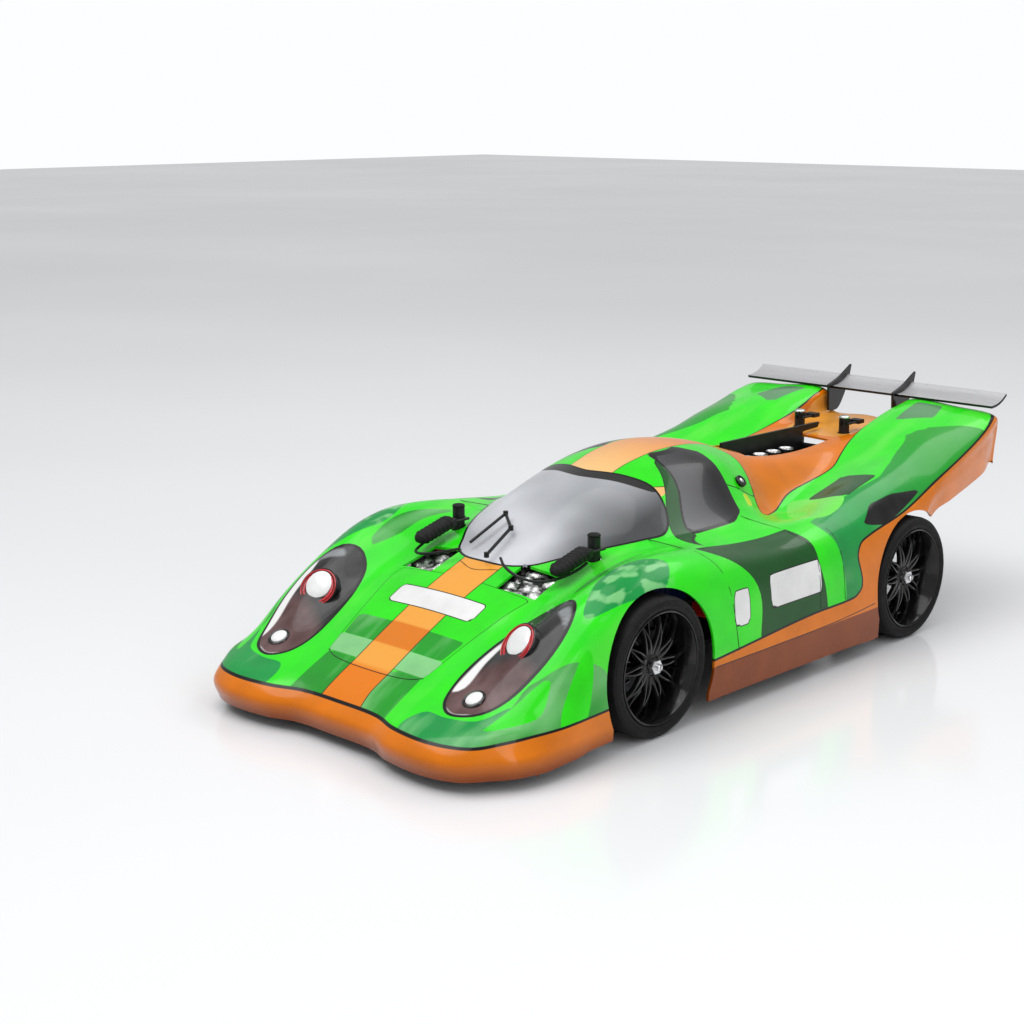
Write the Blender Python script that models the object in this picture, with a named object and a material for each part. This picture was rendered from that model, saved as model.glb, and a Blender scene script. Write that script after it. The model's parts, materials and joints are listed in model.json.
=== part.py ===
"""One-tenth scale rear-drive radio-controlled drift car with a vacuum-formed coupe body shell.

The nose points along -Y, the car's left side is +X and the ground is z = 0. All sizes below are in
millimetres; meshes are made in metres.
"""
import math

import bmesh
import bpy
import numpy as np
from mathutils import Matrix, Vector

MM = 0.001

# Driving dimensions
WHEELBASE = 207.6
TYRE_RADIUS = 32.0
TYRE_WIDTH = 26.0
WHEEL_OUTER_X = 96.5
RIM_RADIUS = 26.0
SHELL_THICKNESS = 1.2
WELD_DISTANCE = 0.05
GAP = 0.3
PIN_RADIUS = 1.5
BORE_RADIUS = 1.9
BALL_PIN_RADIUS = 1.2
EYE_BORE_RADIUS = 1.7
EYE_RADIUS = 3.2

FRONT_AXLE_Y = -WHEELBASE / 2
REAR_AXLE_Y = WHEELBASE / 2
AXLE_Z = TYRE_RADIUS
WHEEL_INNER_X = WHEEL_OUTER_X - TYRE_WIDTH
STUB_RADIUS = 2.0
STUB_INNER_X = 62.0

# Suspension points (x, z): both links of a corner are parallel and equally long
ARM_INNER = (24.0, 14.0)
ARM_OUTER = (60.0, 17.0)
LINK_INNER = (24.0, 41.0)
LINK_OUTER = (60.0, 44.0)
SHAFT_INNER = (24.0, 29.0)
SHAFT_OUTER = (60.0, 32.0)
SHOCK_TOP = (32.0, 60.0)
SHOCK_FOOT = (50.0, 20.5)
LINK_DY = -6.0
SHOCK_DY = 8.5
TOWER_DY = (15.5, 18.5)
HINGE_HOLDERS_DY = ((-17.5, -14.3), (14.3, 17.5))
KINGPIN_X = 66.0

# Steering: the horn and both knuckle arms are parallel and equally long
STEER_ARM = 18.0
HORN_PIVOT = (0.0, -76.0)
TIE_ROD_Z = {1: 40.0, -1: 44.0}

PLATE_Z = (8.0, 10.5)
FRONT_POST = (43.9, -90.0, 81.6)
REAR_POST = (15.0, 158.0, 101.0)
POST_RADIUS = 3.0
FRONT_CLIP_Z = 74.6
REAR_CLIP_Z = 97.0
SHELL_HOLE_RADIUS = 3.6

# Body shell: half sections from the centre line out and down. Columns are the centre, hood or roof
# edge, valley, fender crest, shoulder, waist, sill and bottom edge.
NOSE_ROWS = [
    [(0, -210.7, 5.5), (25, -211.3, 5.5), (40, -216, 5.5), (64, -217.3, 5.5),
     (79, -212.3, 5.5), (87, -202.5, 5.5), (93.3, -193.6, 5.6), (96.5, -184, 5.8)],
    [(0, -212.2, 13.5), (25, -213, 13.5), (40, -218.2, 13.5), (65, -219.5, 13.5),
     (80.5, -214, 13.5), (88.6, -203.7, 13.5), (95, -194, 12.5), (97.5, -180, 5.9)],
    [(0, -207, 19.3), (25, -207.7, 19.6), (41, -212, 20.4), (63, -213.3, 21),
     (78, -208.5, 21.6), (88.5, -197, 22), (96.7, -185, 14), (97.7, -174, 6.1)],
    [(0, -200, 24.8), (26, -200.5, 24.8), (46, -201.5, 25), (66, -201, 25.5),
     (83.5, -194, 25.8), (94.5, -181, 23.5), (98, -174, 14.5), (98, -168, 6.6)],
    [(0, -186, 32.5), (30, -186, 32.3), (48, -186, 31.5), (70, -186, 32.5),
     (87, -182, 30.5), (97, -171, 24), (98.4, -168, 15), (98.2, -164, 6.8)],
    [(0, -170, 41.5), (31, -170, 41), (48, -170, 40), (73, -170, 45),
     (90, -168, 39), (97.6, -162, 24.5), (98.4, -161, 15.5), (98, -159, 7)],
]
STATIONS = [
    (-155, (0, 49.5), (33, 48.5), (49, 47.5), (76, 55.5), (91, 47), (97.5, 25), (98, 16), (97.5, 7.5)),
    (-140, (0, 57), (35, 55.5), (50, 54), (78, 63.5), (92, 54.5), (97.3, 26), (97.6, 17), (97.2, 8)),
    (-122, (0, 64.5), (34, 61.5), (50, 60), (79.5, 71.8), (92.5, 62), (97, 27), (97.4, 17.5), (97, 8.3)),
    (-104, (0, 72), (31, 67.5), (49, 65.5), (80, 76), (92.5, 66.5), (97, 27), (97.3, 17.5), (97, 8.5)),
    (-88, (0, 79.5), (31, 73.5), (50, 70), (80, 76.4), (92.5, 68), (97, 27), (97.3, 17.5), (97, 8.6)),
    (-70, (0, 88), (32, 80.5), (54, 72.5), (80, 75), (92.3, 67.5), (97, 27), (97.3, 17.5), (97, 8.7)),
    (-50, (0, 96.8), (32.5, 89.5), (57.5, 75), (80, 72.5), (92, 65.5), (97, 27.5), (97.3, 17.5), (97, 8.8)),
    (-28, (0, 103.5), (33.5, 96), (58.5, 76), (79, 70), (91.5, 63.5), (97, 28), (97.3, 17.5), (97, 8.7)),
    (-5, (0, 106.5), (34, 99), (58, 76.5), (78, 69), (91, 62.5), (97, 28.5), (97.3, 17.5), (97, 8.6)),
    (18, (0, 105.3), (32.5, 98), (55, 74.5), (78, 70), (91, 63), (97, 29), (97.3, 17.5), (97, 8.4)),
    (36, (0, 101.8), (28, 94.5), (51, 71), (78, 71.5), (91, 64.5), (97, 30), (97.3, 17.5), (97, 8.2)),
    (50, (0, 97.5), (25, 92.5), (48, 69.5), (78, 73.5), (91, 66), (97, 31), (97.3, 18), (97, 8)),
    (75, (0, 90), (24, 89.5), (45, 74), (78, 79.5), (91, 70), (96.5, 36), (96.8, 20), (96.5, 8)),
    (100, (0, 88.5), (23, 88), (41, 78.5), (77, 84), (91, 74), (95.5, 50), (95.8, 35), (95.5, 20)),
    (125, (0, 89.5), (22, 88.5), (36, 84.5), (75, 89), (90.5, 79), (93, 72), (92.5, 66), (92, 60)),
    (150, (0, 91.5), (20, 91), (29.5, 93), (72, 96), (89.5, 86.5), (90.5, 78), (90, 71), (89.5, 65.5)),
    (175, (0, 93), (22.5, 93), (27.5, 100.5), (66, 101.5), (88, 94), (88, 85), (87, 76), (86, 69)),
    (195, (0, 93.5), (23.5, 94), (27.5, 104.3), (62, 104.8), (86, 100.5), (85.5, 91), (84.5, 82), (83.5, 73)),
    (205, (0, 93.5), (23.5, 94), (27.5, 105), (60, 105.4), (84, 102), (83, 95), (82, 86), (81, 77)),
    (208, (0, 86), (23.5, 86), (31, 96), (60, 97), (82, 94), (82, 89), (81.5, 83), (81, 77)),
    (209, (0, 76), (23.5, 76), (31, 76), (60, 76), (80, 76), (80.5, 76), (80.8, 76), (81, 76)),
]


# Materials

def material(name, color, roughness=0.5, metallic=0.0):
    found = bpy.data.materials.get(name)
    if found:
        return found
    made = bpy.data.materials.new(name)
    made.use_nodes = True
    shader = made.node_tree.nodes["Principled BSDF"]
    shader.inputs["Base Color"].default_value = (*color, 1.0)
    shader.inputs["Roughness"].default_value = roughness
    shader.inputs["Metallic"].default_value = metallic
    return made


def green_paint():
    return material("green_paint", (0.02, 0.62, 0.03), 0.2)


def black_plastic():
    return material("black_plastic", (0.02, 0.02, 0.022), 0.45)


def grey_metal():
    return material("grey_metal", (0.2, 0.2, 0.21), 0.35, 0.6)


def steel():
    return material("steel", (0.7, 0.7, 0.72), 0.25, 1.0)


def tyre_rubber():
    return material("tyre_rubber", (0.015, 0.015, 0.015), 0.75)


def rim_black():
    return material("rim_black", (0.012, 0.012, 0.013), 0.15)


def foam_grey():
    return material("foam_grey", (0.08, 0.08, 0.085), 0.9)


def battery_blue():
    return material("battery_blue", (0.02, 0.06, 0.3), 0.4)


def lamp_black():
    return material("lamp_black", (0.03, 0.02, 0.02), 0.2)


# Solid helpers: every size is in millimetres

def link_object(name, mesh, mat):
    mesh.materials.clear()
    mesh.materials.append(mat)
    obj = bpy.data.objects.new(name, mesh)
    bpy.context.scene.collection.objects.link(obj)
    return obj


def mesh_from(points, faces, name="solid"):
    mesh = bpy.data.meshes.new(name)
    mesh.from_pydata([tuple(c * MM for c in p) for p in points], [], faces)
    bm = bmesh.new()
    bm.from_mesh(mesh)
    bmesh.ops.recalc_face_normals(bm, faces=bm.faces)
    bm.to_mesh(mesh)
    bm.free()
    return mesh


def box(x0, x1, y0, y1, z0, z1):
    """A block between two corners."""
    xs, ys, zs = sorted((x0, x1)), sorted((y0, y1)), sorted((z0, z1))
    points = [(x, y, z) for z in zs for y in ys for x in xs]
    faces = [(0, 2, 3, 1), (4, 5, 7, 6), (0, 1, 5, 4), (2, 6, 7, 3), (0, 4, 6, 2), (1, 3, 7, 5)]
    return mesh_from(points, faces)


def prism(outline, axis, low, high):
    """A closed outline of (a, b) pairs pushed along the axis, 0 for X, 1 for Y or 2 for Z."""
    def place(a, b, c):
        return [(c, a, b), (a, c, b), (a, b, c)][axis]
    count = len(outline)
    points = [place(a, b, low) for a, b in outline] + [place(a, b, high) for a, b in outline]
    faces = [tuple(range(count)), tuple(range(2 * count - 1, count - 1, -1))]
    for i in range(count):
        j = (i + 1) % count
        faces.append((i, j, j + count, i + count))
    return mesh_from(points, faces)


def rod(start, end, radius, sides=10, end_radius=None):
    """A round bar or cone between two points."""
    a, b = Vector(start), Vector(end)
    turn = (b - a).to_track_quat("Z", "Y").to_matrix()
    radii = (radius, radius if end_radius is None else end_radius)
    points = []
    for centre, r in zip((a, b), radii):
        for i in range(sides):
            angle = 2 * math.pi * (i + 0.5) / sides
            points.append(centre + turn @ Vector((r * math.cos(angle), r * math.sin(angle), 0)))
    faces = [tuple(range(sides)), tuple(range(2 * sides - 1, sides - 1, -1))]
    for i in range(sides):
        j = (i + 1) % sides
        faces.append((i, j, j + sides, i + sides))
    return mesh_from(points, faces)


def turned(profile, axis_point, sides, axis=0):
    """A ring or disc: a closed profile of (along, radius) turned round an axis through a point."""
    count = len(profile)
    points = []
    for i in range(sides):
        angle = 2 * math.pi * (i + 0.5) / sides - math.pi / 2
        c, s = math.cos(angle), math.sin(angle)
        for along, r in profile:
            local = [(along, r * c, r * s), (r * c, along, r * s), (r * c, r * s, along)][axis]
            points.append(tuple(p + q for p, q in zip(local, axis_point)))
    faces = []
    for i in range(sides):
        j = (i + 1) % sides
        for k in range(count):
            m = (k + 1) % count
            faces.append((i * count + k, i * count + m, j * count + m, j * count + k))
    return mesh_from(points, faces)


def combine(base, others, operation):
    """The base mesh joined with, or cut by, each of the other meshes."""
    holder = bpy.data.objects.new("base", base)
    bpy.context.scene.collection.objects.link(holder)
    helpers = []
    for mesh in others:
        helper = bpy.data.objects.new("helper", mesh)
        bpy.context.scene.collection.objects.link(helper)
        helpers.append(helper)
        step = holder.modifiers.new("step", "BOOLEAN")
        step.operation = operation
        step.solver = "EXACT"
        step.object = helper
    bpy.context.view_layer.update()
    graph = bpy.context.evaluated_depsgraph_get()
    result = bpy.data.meshes.new_from_object(holder.evaluated_get(graph))
    for obj in [holder] + helpers:
        bpy.data.objects.remove(obj)
    return result


def fuse(*meshes):
    return combine(meshes[0], meshes[1:], "UNION") if len(meshes) > 1 else meshes[0]


def cut(base, *cutters):
    return combine(base, cutters, "DIFFERENCE")


def weld(mesh):
    """The mesh in triangles from right to left, with the slivers that a cut leaves closed up."""
    work = bmesh.new()
    work.from_mesh(mesh)
    bmesh.ops.triangulate(work, faces=work.faces)
    bmesh.ops.remove_doubles(work, verts=work.verts, dist=WELD_DISTANCE * MM)
    bmesh.ops.dissolve_degenerate(work, edges=work.edges, dist=WELD_DISTANCE * MM)
    bmesh.ops.triangulate(work, faces=work.faces)
    work.faces.sort(key=lambda face: face.calc_center_median().x)
    work.to_mesh(mesh)
    work.free()
    return mesh


def node(name, mesh, mat, pivot=(0, 0, 0), smooth=True):
    """Makes the mesh an object whose origin is at the pivot, in millimetres."""
    origin = Vector(pivot) * MM
    mesh.transform(Matrix.Translation(-origin))
    if smooth:
        mesh.shade_smooth()
        mesh.set_sharp_from_angle(angle=math.radians(35))
    obj = link_object(name, mesh, mat)
    obj.location = origin
    return obj


def along_y(point, y0, y1, radius, sides=10):
    """A round bar along Y through an (x, z) point."""
    return rod((point[0], y0, point[1]), (point[0], y1, point[1]), radius, sides)


def mirrored(point, side):
    return (point[0] * side, point[1])


# Body shell

def smooth_points(points, params):
    """Centripetal Catmull-Rom curve through the points."""
    p = np.vstack([2 * points[0] - points[1], points, 2 * points[-1] - points[-2]])
    found = []
    for t in params:
        i = min(int(t), len(points) - 2)
        a, b, c, d = p[i:i + 4]
        k = [0.0]
        for q, r in ((a, b), (b, c), (c, d)):
            k.append(k[-1] + max(float(np.linalg.norm(r - q)), 1e-6) ** 0.5)
        u = k[1] + (t - i) * (k[2] - k[1])
        low = ((k[1] - u) * a + (u - k[0]) * b) / (k[1] - k[0])
        mid = ((k[2] - u) * b + (u - k[1]) * c) / (k[2] - k[1])
        high = ((k[3] - u) * c + (u - k[2]) * d) / (k[3] - k[2])
        low = ((k[2] - u) * low + (u - k[0]) * mid) / (k[2] - k[0])
        high = ((k[3] - u) * mid + (u - k[1]) * high) / (k[3] - k[1])
        found.append(((k[2] - u) * low + (u - k[1]) * high) / (k[2] - k[1]))
    return np.array(found)


def shell_grid(row_steps, column_steps):
    """Points of the shell's outer surface, rows from the nose to the tail, columns right to left."""
    rows = [list(row) for row in NOSE_ROWS]
    for station in STATIONS:
        rows.append([(x, station[0], z) for x, z in station[1:]])
    cage = np.array(rows, float)
    count, columns = cage.shape[:2]
    params = np.linspace(0, count - 1, (count - 1) * row_steps + 1)
    lines = np.stack([smooth_points(cage[:, j], params) for j in range(columns)], 1)
    params = np.linspace(0, 2 * columns - 2, (2 * columns - 2) * column_steps + 1)
    grid = []
    for line in lines:
        full = np.vstack([(line[1:] * [-1, 1, 1])[::-1], line])
        grid.append(smooth_points(full, params))
    return np.array(grid)


def grid_normals(grid):
    across = np.gradient(grid, axis=1)
    along = np.gradient(grid, axis=0)
    normals = np.cross(across, along)
    return normals / np.maximum(np.linalg.norm(normals, axis=2, keepdims=True), 1e-9)


def skin(grid, outer, inner):
    """A closed sheet between two distances below the grid's surface."""
    normals = grid_normals(grid)
    rows, columns = grid.shape[:2]
    points = np.vstack([(grid - normals * outer).reshape(-1, 3), (grid - normals * inner).reshape(-1, 3)])
    size = rows * columns
    faces = []
    for i in range(rows - 1):
        for j in range(columns - 1):
            a, b = i * columns + j, i * columns + j + 1
            c, d = b + columns, a + columns
            faces.append((a, b, c, d))
            faces.append((a + size, d + size, c + size, b + size))
    edge = [j for j in range(columns)]
    edge += [i * columns + columns - 1 for i in range(1, rows)]
    edge += [(rows - 1) * columns + j for j in range(columns - 2, -1, -1)]
    edge += [i * columns for i in range(rows - 2, 0, -1)]
    for a, b in zip(edge, edge[1:] + edge[:1]):
        faces.append((a, a + size, b + size, b))
    return mesh_from([tuple(p) for p in points], faces)


ARCH_SIDES = 24
FRONT_ARCH = (FRONT_AXLE_Y - 0.7, 30.0, 37.5)
REAR_ARCH = (REAR_AXLE_Y + 0.7, 31.2, 36.2)
ARCH_FOOT_HALF = 33.4
DECK_OPENING = [(-20, 58), (20, 58), (19, 100), (17, 140), (-17, 140), (-19, 100)]
HOOD_OPENING = [(21, -131), (43, -129), (41, -109), (20, -111)]


def body_shell():
    mesh = skin(shell_grid(1, 2), 0.0, SHELL_THICKNESS)
    cutters = []
    for y, z, radius in (FRONT_ARCH, REAR_ARCH):
        for side in (1, -1):
            cutters.append(rod((side * 71, y, z), (side * 110, y, z), radius, ARCH_SIDES))
            inner, outer = sorted((side * 71, side * 110))
            cutters.append(box(inner, outer, y - ARCH_FOOT_HALF, y + ARCH_FOOT_HALF, -5, z))
    cutters.append(prism(DECK_OPENING, 2, 78, 110))
    for side in (1, -1):
        outline = [(x * side, y) for x, y in HOOD_OPENING]
        cutters.append(prism(outline, 2, 48, 80))
        for x, y, top in (FRONT_POST, REAR_POST):
            cutters.append(rod((x * side, y, 60), (x * side, y, top + 5), SHELL_HOLE_RADIUS))
    return node("body_shell", weld(cut(mesh, *cutters)), green_paint())


def light_bucket(side):
    """A dark tray under each headlight window, with a large and a small round lamp."""
    name = "light_bucket_left" if side > 0 else "light_bucket_right"
    grid = shell_grid(2, 2)
    middle = (grid.shape[1] - 1) // 2
    part = grid[7:15, middle + 4:middle + 9] if side > 0 else grid[7:15, middle - 8:middle - 3]
    tray = skin(part, 3.4, 5.0)
    lamps = []
    for x, y, z, radius in ((65.4, -157.1, 45.5, 7.0), (63.3, -184.0, 26.6, 4.0)):
        lamps.append(rod((x * side, y + 2.2, z - 3.0), (x * side, y - 0.6, z + 0.8), radius, 20))
    return node(name, fuse(tray, *lamps), lamp_black())


def engine_tray():
    """The black tub under the rear deck opening, with an upright plate along its middle."""
    outer = box(-16, 16, 62, 138, 74, 86)
    inner = box(-14.5, 14.5, 63.5, 136.5, 75.5, 90)
    trumpets = [rod((x, y, 75), (x, y, 83), 2.6, 10) for y in (76, 88, 100, 112) for x in (-8, 8)]
    flange = box(-21, 21, 56, 144, 84, 85.4)
    side_view = [(63, 75), (137, 75), (138.5, 92.8), (153, 93.4), (154.5, 96.2), (63, 96.6)]
    plate = prism(side_view, 0, -0.8, 0.8)
    return node("engine_tray", fuse(cut(fuse(outer, flange), inner), plate, *trumpets), black_plastic())


def wing_outline(lift=0.0):
    """The curved wing section as (y, z) points, thickness 1.6, turned up towards the rear."""
    top = [(200.0, 109.2), (205.5, 109.8), (211.0, 111.6), (216.0, 114.6)]
    return [(y, z + lift) for y, z in top] + [(y + 0.7, z - 1.6 + lift) for y, z in reversed(top)]


def rear_wing():
    plate = prism(wing_outline(), 0, -83, 83)
    return node("rear_wing", plate, grey_metal())


def wing_fin(side):
    """A pointed black fin on the wing that runs down the inner wall of the tail."""
    name = "wing_fin_left" if side > 0 else "wing_fin_right"
    outline = [(197, 94.8), (206, 94.8), (213, 103), (219.7, 120.3), (217, 120.3), (207, 114), (194.5, 109.5)]
    x = 21.9 * side
    wall = prism(outline, 0, x - 0.8, x + 0.8)
    slot = prism(fin_slot(), 0, x - 2, x + 2)
    return node(name, cut(wall, slot), black_plastic())


def fin_slot():
    """The clearance round the wing's section, open towards the rear."""
    top = [(y - 0.3, z + 0.35) for y, z in wing_outline()[:4]]
    bottom = [(y + 0.3, z - 0.35) for y, z in wing_outline()[4:]]
    return top + [(222, 117.6)] + [(222, 114.5)] + bottom[:3] + [(200.7, bottom[3][1])]


def filler_cap():
    cap = rod((41.5, 24.0, 87.5), (42.4, 24.1, 88.4), 3.2, 16)
    return node("filler_cap", cap, black_plastic())


def wiper():
    """The windscreen wiper's spindle, arm and blade, standing just off the glass."""
    spindle = (4.0, -119.5, 70.0)
    knee = (0.0, -99.0, 78.5)
    tip = (-14.0, -112.0, 71.5)
    top = (-12.0, -90.0, 82.0)
    arm = [rod(spindle, knee, 0.8, 6), rod(knee, top, 0.8, 6), rod(tip, top, 0.8, 6)]
    joints = [rod((p[0], p[1], p[2] - 1.2), (p[0], p[1], p[2] + 1.2), 1.3, 8) for p in (spindle, knee, top)]
    return node("windscreen_wiper", fuse(*arm, *joints), black_plastic())


def body_clip(x, y, z, ahead, name):
    """A spring clip: a pin through its post, a loop beside it and a pull tab, long and sloping in front."""
    s = -1 if ahead else 1
    wire = rod((x, y + s * -4.2, z), (x, y + s * 8, z), 0.7, 8)
    loop = rod((x + 3.9, y + s * -3, z), (x + 3.9, y + s * 7, z), 0.7, 8)
    if ahead:
        slope = [(y - 6.6, z + 1.8), (y - 19, z - 1.6), (y - 19, z - 5), (y - 6.6, z - 1.8)]
        tab = prism(slope, 0, x - 3.2, x + 5.4)
    else:
        tab = box(x - 1.4, x + 5.2, y + 6.6, y + 12.5, z - 1.1, z + 1.1)
    return node(name, fuse(wire, loop, tab), black_plastic(), (x, y, z))


def tube(name, route, radius, mat):
    """A round cord on a smooth curve through the route's points, in millimetres."""
    points = np.array(route, float)
    steps = np.linspace(0, len(points) - 1, (len(points) - 1) * 3 + 1)
    curve = bpy.data.curves.new(name, "CURVE")
    curve.dimensions = "3D"
    curve.bevel_depth = radius * MM
    curve.bevel_resolution = 2
    curve.use_fill_caps = True
    spline = curve.splines.new("POLY")
    smooth = smooth_points(points, steps)
    spline.points.add(len(smooth) - 1)
    for place, p in zip(spline.points, smooth):
        place.co = (*(p * MM), 1.0)
    curve.materials.append(mat)
    obj = bpy.data.objects.new(name, curve)
    bpy.context.scene.collection.objects.link(obj)
    return obj


TETHER = [(13, -119.5, 70), (20, -124, 68), (31, -126, 65.5), (40, -123, 64.5), (45, -114, 65.5),
          (47, -105, 67.8), (47.8, -99, 70.2)]


def clip_tether(side):
    name = "clip_tether_left" if side > 0 else "clip_tether_right"
    return tube(name, [(x * side, y, z) for x, y, z in TETHER], 0.7, black_plastic())


# Chassis

def chassis_plate():
    outline = [(-20, -150), (20, -150), (26, -128), (26, -84), (42, -66), (42, 40), (27, 66),
               (27, 128), (18, 140), (-18, 140), (-27, 128), (-27, 66), (-42, 40), (-42, -66),
               (-26, -84), (-26, -128)]
    plate = prism(outline, 2, *PLATE_Z)
    slots = [box(x - 2, x + 2, y - 8, y + 8, 0, 20) for x in (-34, 34) for y in (-30, 0, 30)]
    return node("chassis_plate", cut(plate, *slots), black_plastic())


def bulkhead(name, axle_y, block, extra, mat):
    """Gearbox or bulkhead block with hinge pins, link pins and the shock tower."""
    solids = [block]
    for low, high in HINGE_HOLDERS_DY:
        solids.append(box(-28, 28, axle_y + low, axle_y + high, PLATE_Z[1] + GAP, 18))
    for side in (1, -1):
        x, z = mirrored(ARM_INNER, side)
        solids.append(along_y((x, z), axle_y - 16, axle_y + 16, PIN_RADIUS))
        x, z = mirrored(LINK_INNER, side)
        solids.append(box(x + 3 * side, 10 * side, axle_y - 12, axle_y - 9, z - 5, z + 3))
        solids.append(along_y((x, z), axle_y - 10, axle_y - 3, BALL_PIN_RADIUS))
        x, z = mirrored(SHOCK_TOP, side)
        solids.append(along_y((x, z), axle_y + 5.5, axle_y + 16, BALL_PIN_RADIUS))
    tower = [(-18, 16), (18, 16), (18, 38), (37, 54), (37, 64), (27, 65), (14, 52),
             (-14, 52), (-27, 65), (-37, 64), (-37, 54), (-18, 38)]
    solids.append(prism(tower, 1, axle_y + TOWER_DY[0], axle_y + TOWER_DY[1]))
    return node(name, fuse(*solids, *extra), mat, (0, axle_y, 0))


def front_bulkhead():
    y = FRONT_AXLE_Y
    block = box(-16, 16, y - 13, y + 16, PLATE_Z[1] + GAP, 44)
    return bulkhead("front_bulkhead", y, block, [], black_plastic())


def rear_gearbox():
    y = REAR_AXLE_Y
    block = box(-16, 16, y - 15, y + 16, PLATE_Z[1] + GAP, 44)
    x, z = SHAFT_INNER
    drives = rod((-x + 3.2, y, z), (x - 3.2, y, z), 5.0, 16)
    front = box(-15, 15, y - 32, y - 14, PLATE_Z[1] + GAP, 36)
    return bulkhead("rear_gearbox", y, block, [drives, front], black_plastic())


def drive_motor():
    can = rod((-24, 50, 29.5), (22, 50, 29.5), 17.8, 24)
    boss = rod((-27, 50, 29.5), (-22, 50, 29.5), 6.5, 16)
    bell = rod((20, 50, 29.5), (26, 50, 29.5), 12.0, 20)
    return node("drive_motor", fuse(can, boss, bell), grey_metal(), (0, 50, 29.5))


def battery_pack():
    pack = box(-40, 6, -58, 28, 10.8, 34)
    return node("battery_pack", pack, battery_blue(), smooth=False)


def receiver_esc():
    case = box(11, 40, -44, -8, 10.8, 24)
    fins = [box(12 + 3 * i, 13.4 + 3 * i, -42, -10, 23, 29) for i in range(9)]
    return node("receiver_esc", fuse(case, *fins), grey_metal(), smooth=False)


def steering_servo():
    x, y = HORN_PIVOT
    case = box(x - 10, x + 30, y - 6.5, y + 13, 10.8, 34)
    neck = rod((x, y, 33), (x, y, 36.6), 5.5, 16)
    return node("steering_servo", fuse(case, neck), black_plastic())


def servo_saver():
    """The horn on the servo's output, with one tall pin that carries both tie rods."""
    x, y = HORN_PIVOT
    hub = rod((x, y, 37), (x, y, 39), 5.0, 16)
    arm = box(x - 2.5, x + 2.5, y, y + STEER_ARM + 2.5, 36.9, 39)
    pin = rod((x, y + STEER_ARM, 37.5), (x, y + STEER_ARM, 49), BALL_PIN_RADIUS, 10)
    return node("servo_saver", fuse(hub, arm, pin), grey_metal(), (x, y, 38))


def eye_ring(centre, axis, length, outer=EYE_RADIUS, inner=EYE_BORE_RADIUS, sides=10):
    half = length / 2
    profile = [(-half, inner), (half, inner), (half, outer), (-half, outer)]
    return turned(profile, centre, sides, axis)


def tie_rod(side):
    name = "tie_rod_left" if side > 0 else "tie_rod_right"
    z = TIE_ROD_Z[side] + 1.5
    inner = Vector((HORN_PIVOT[0], HORN_PIVOT[1] + STEER_ARM, z))
    outer = Vector((KINGPIN_X * side, FRONT_AXLE_Y + STEER_ARM, z))
    run = (outer - inner).normalized()
    bar = rod(inner + run * 2.6, outer - run * 2.6, 1.3, 8)
    rings = [eye_ring(p, 2, 3.0) for p in (inner, outer)]
    return node(name, fuse(*rings, bar), grey_metal(), inner)


def front_bumper():
    outline = [(-52, -196), (52, -196), (62, -186), (62, -170), (18, -160), (18, -146), (-18, -146),
               (-18, -160), (-62, -170), (-62, -186)]
    return node("front_bumper", prism(outline, 2, 10.9, 18.5), foam_grey())


def front_body_mount():
    """A crossbar on the shock tower that carries the two front body posts."""
    back = FRONT_AXLE_Y + TOWER_DY[1] + GAP
    x, y, top = FRONT_POST
    bar = box(-47, 47, back, back + 4.5, 50, 56)
    solids = [bar, box(-10, 10, back, back + 8, 50, 56)]
    for side in (1, -1):
        solids.append(box((x - 2.4) * side, (x + 3.4) * side, y - 3, back + 4, 50, 56))
        post = rod((x * side, y, 52), (x * side, y, top - 1.5), POST_RADIUS, 12)
        cap = rod((x * side, y, top - 1.6), (x * side, y, top), POST_RADIUS, 12, POST_RADIUS - 1.2)
        solids += [post, cap]
    hole = [rod((x * s, y - 6, FRONT_CLIP_Z), (x * s, y + 6, FRONT_CLIP_Z), 1.1, 10) for s in (1, -1)]
    return node("front_body_mount", cut(fuse(*solids), *hole), black_plastic())


def rear_body_mount():
    """A bracket behind the gearbox tower that carries the two rear body posts."""
    front = REAR_AXLE_Y + TOWER_DY[1] + GAP
    x, y, top = REAR_POST
    solids = [box(-19, 19, front, front + 5, 44, 71), box(-19, 19, front, y + 4, 66, 71)]
    for side in (1, -1):
        post = rod((x * side, y, 68), (x * side, y, top - 1.5), POST_RADIUS, 12)
        cap = rod((x * side, y, top - 1.6), (x * side, y, top), POST_RADIUS, 12, POST_RADIUS - 1.2)
        solids += [post, cap]
    hole = [rod((x * s, y - 6, REAR_CLIP_Z), (x * s, y + 6, REAR_CLIP_Z), 1.1, 10) for s in (1, -1)]
    return node("rear_body_mount", cut(fuse(*solids), *hole), black_plastic())


# Suspension corner parts

def corner_name(base, axle, side):
    return f"{base}_{axle}_{'left' if side > 0 else 'right'}"


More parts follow.
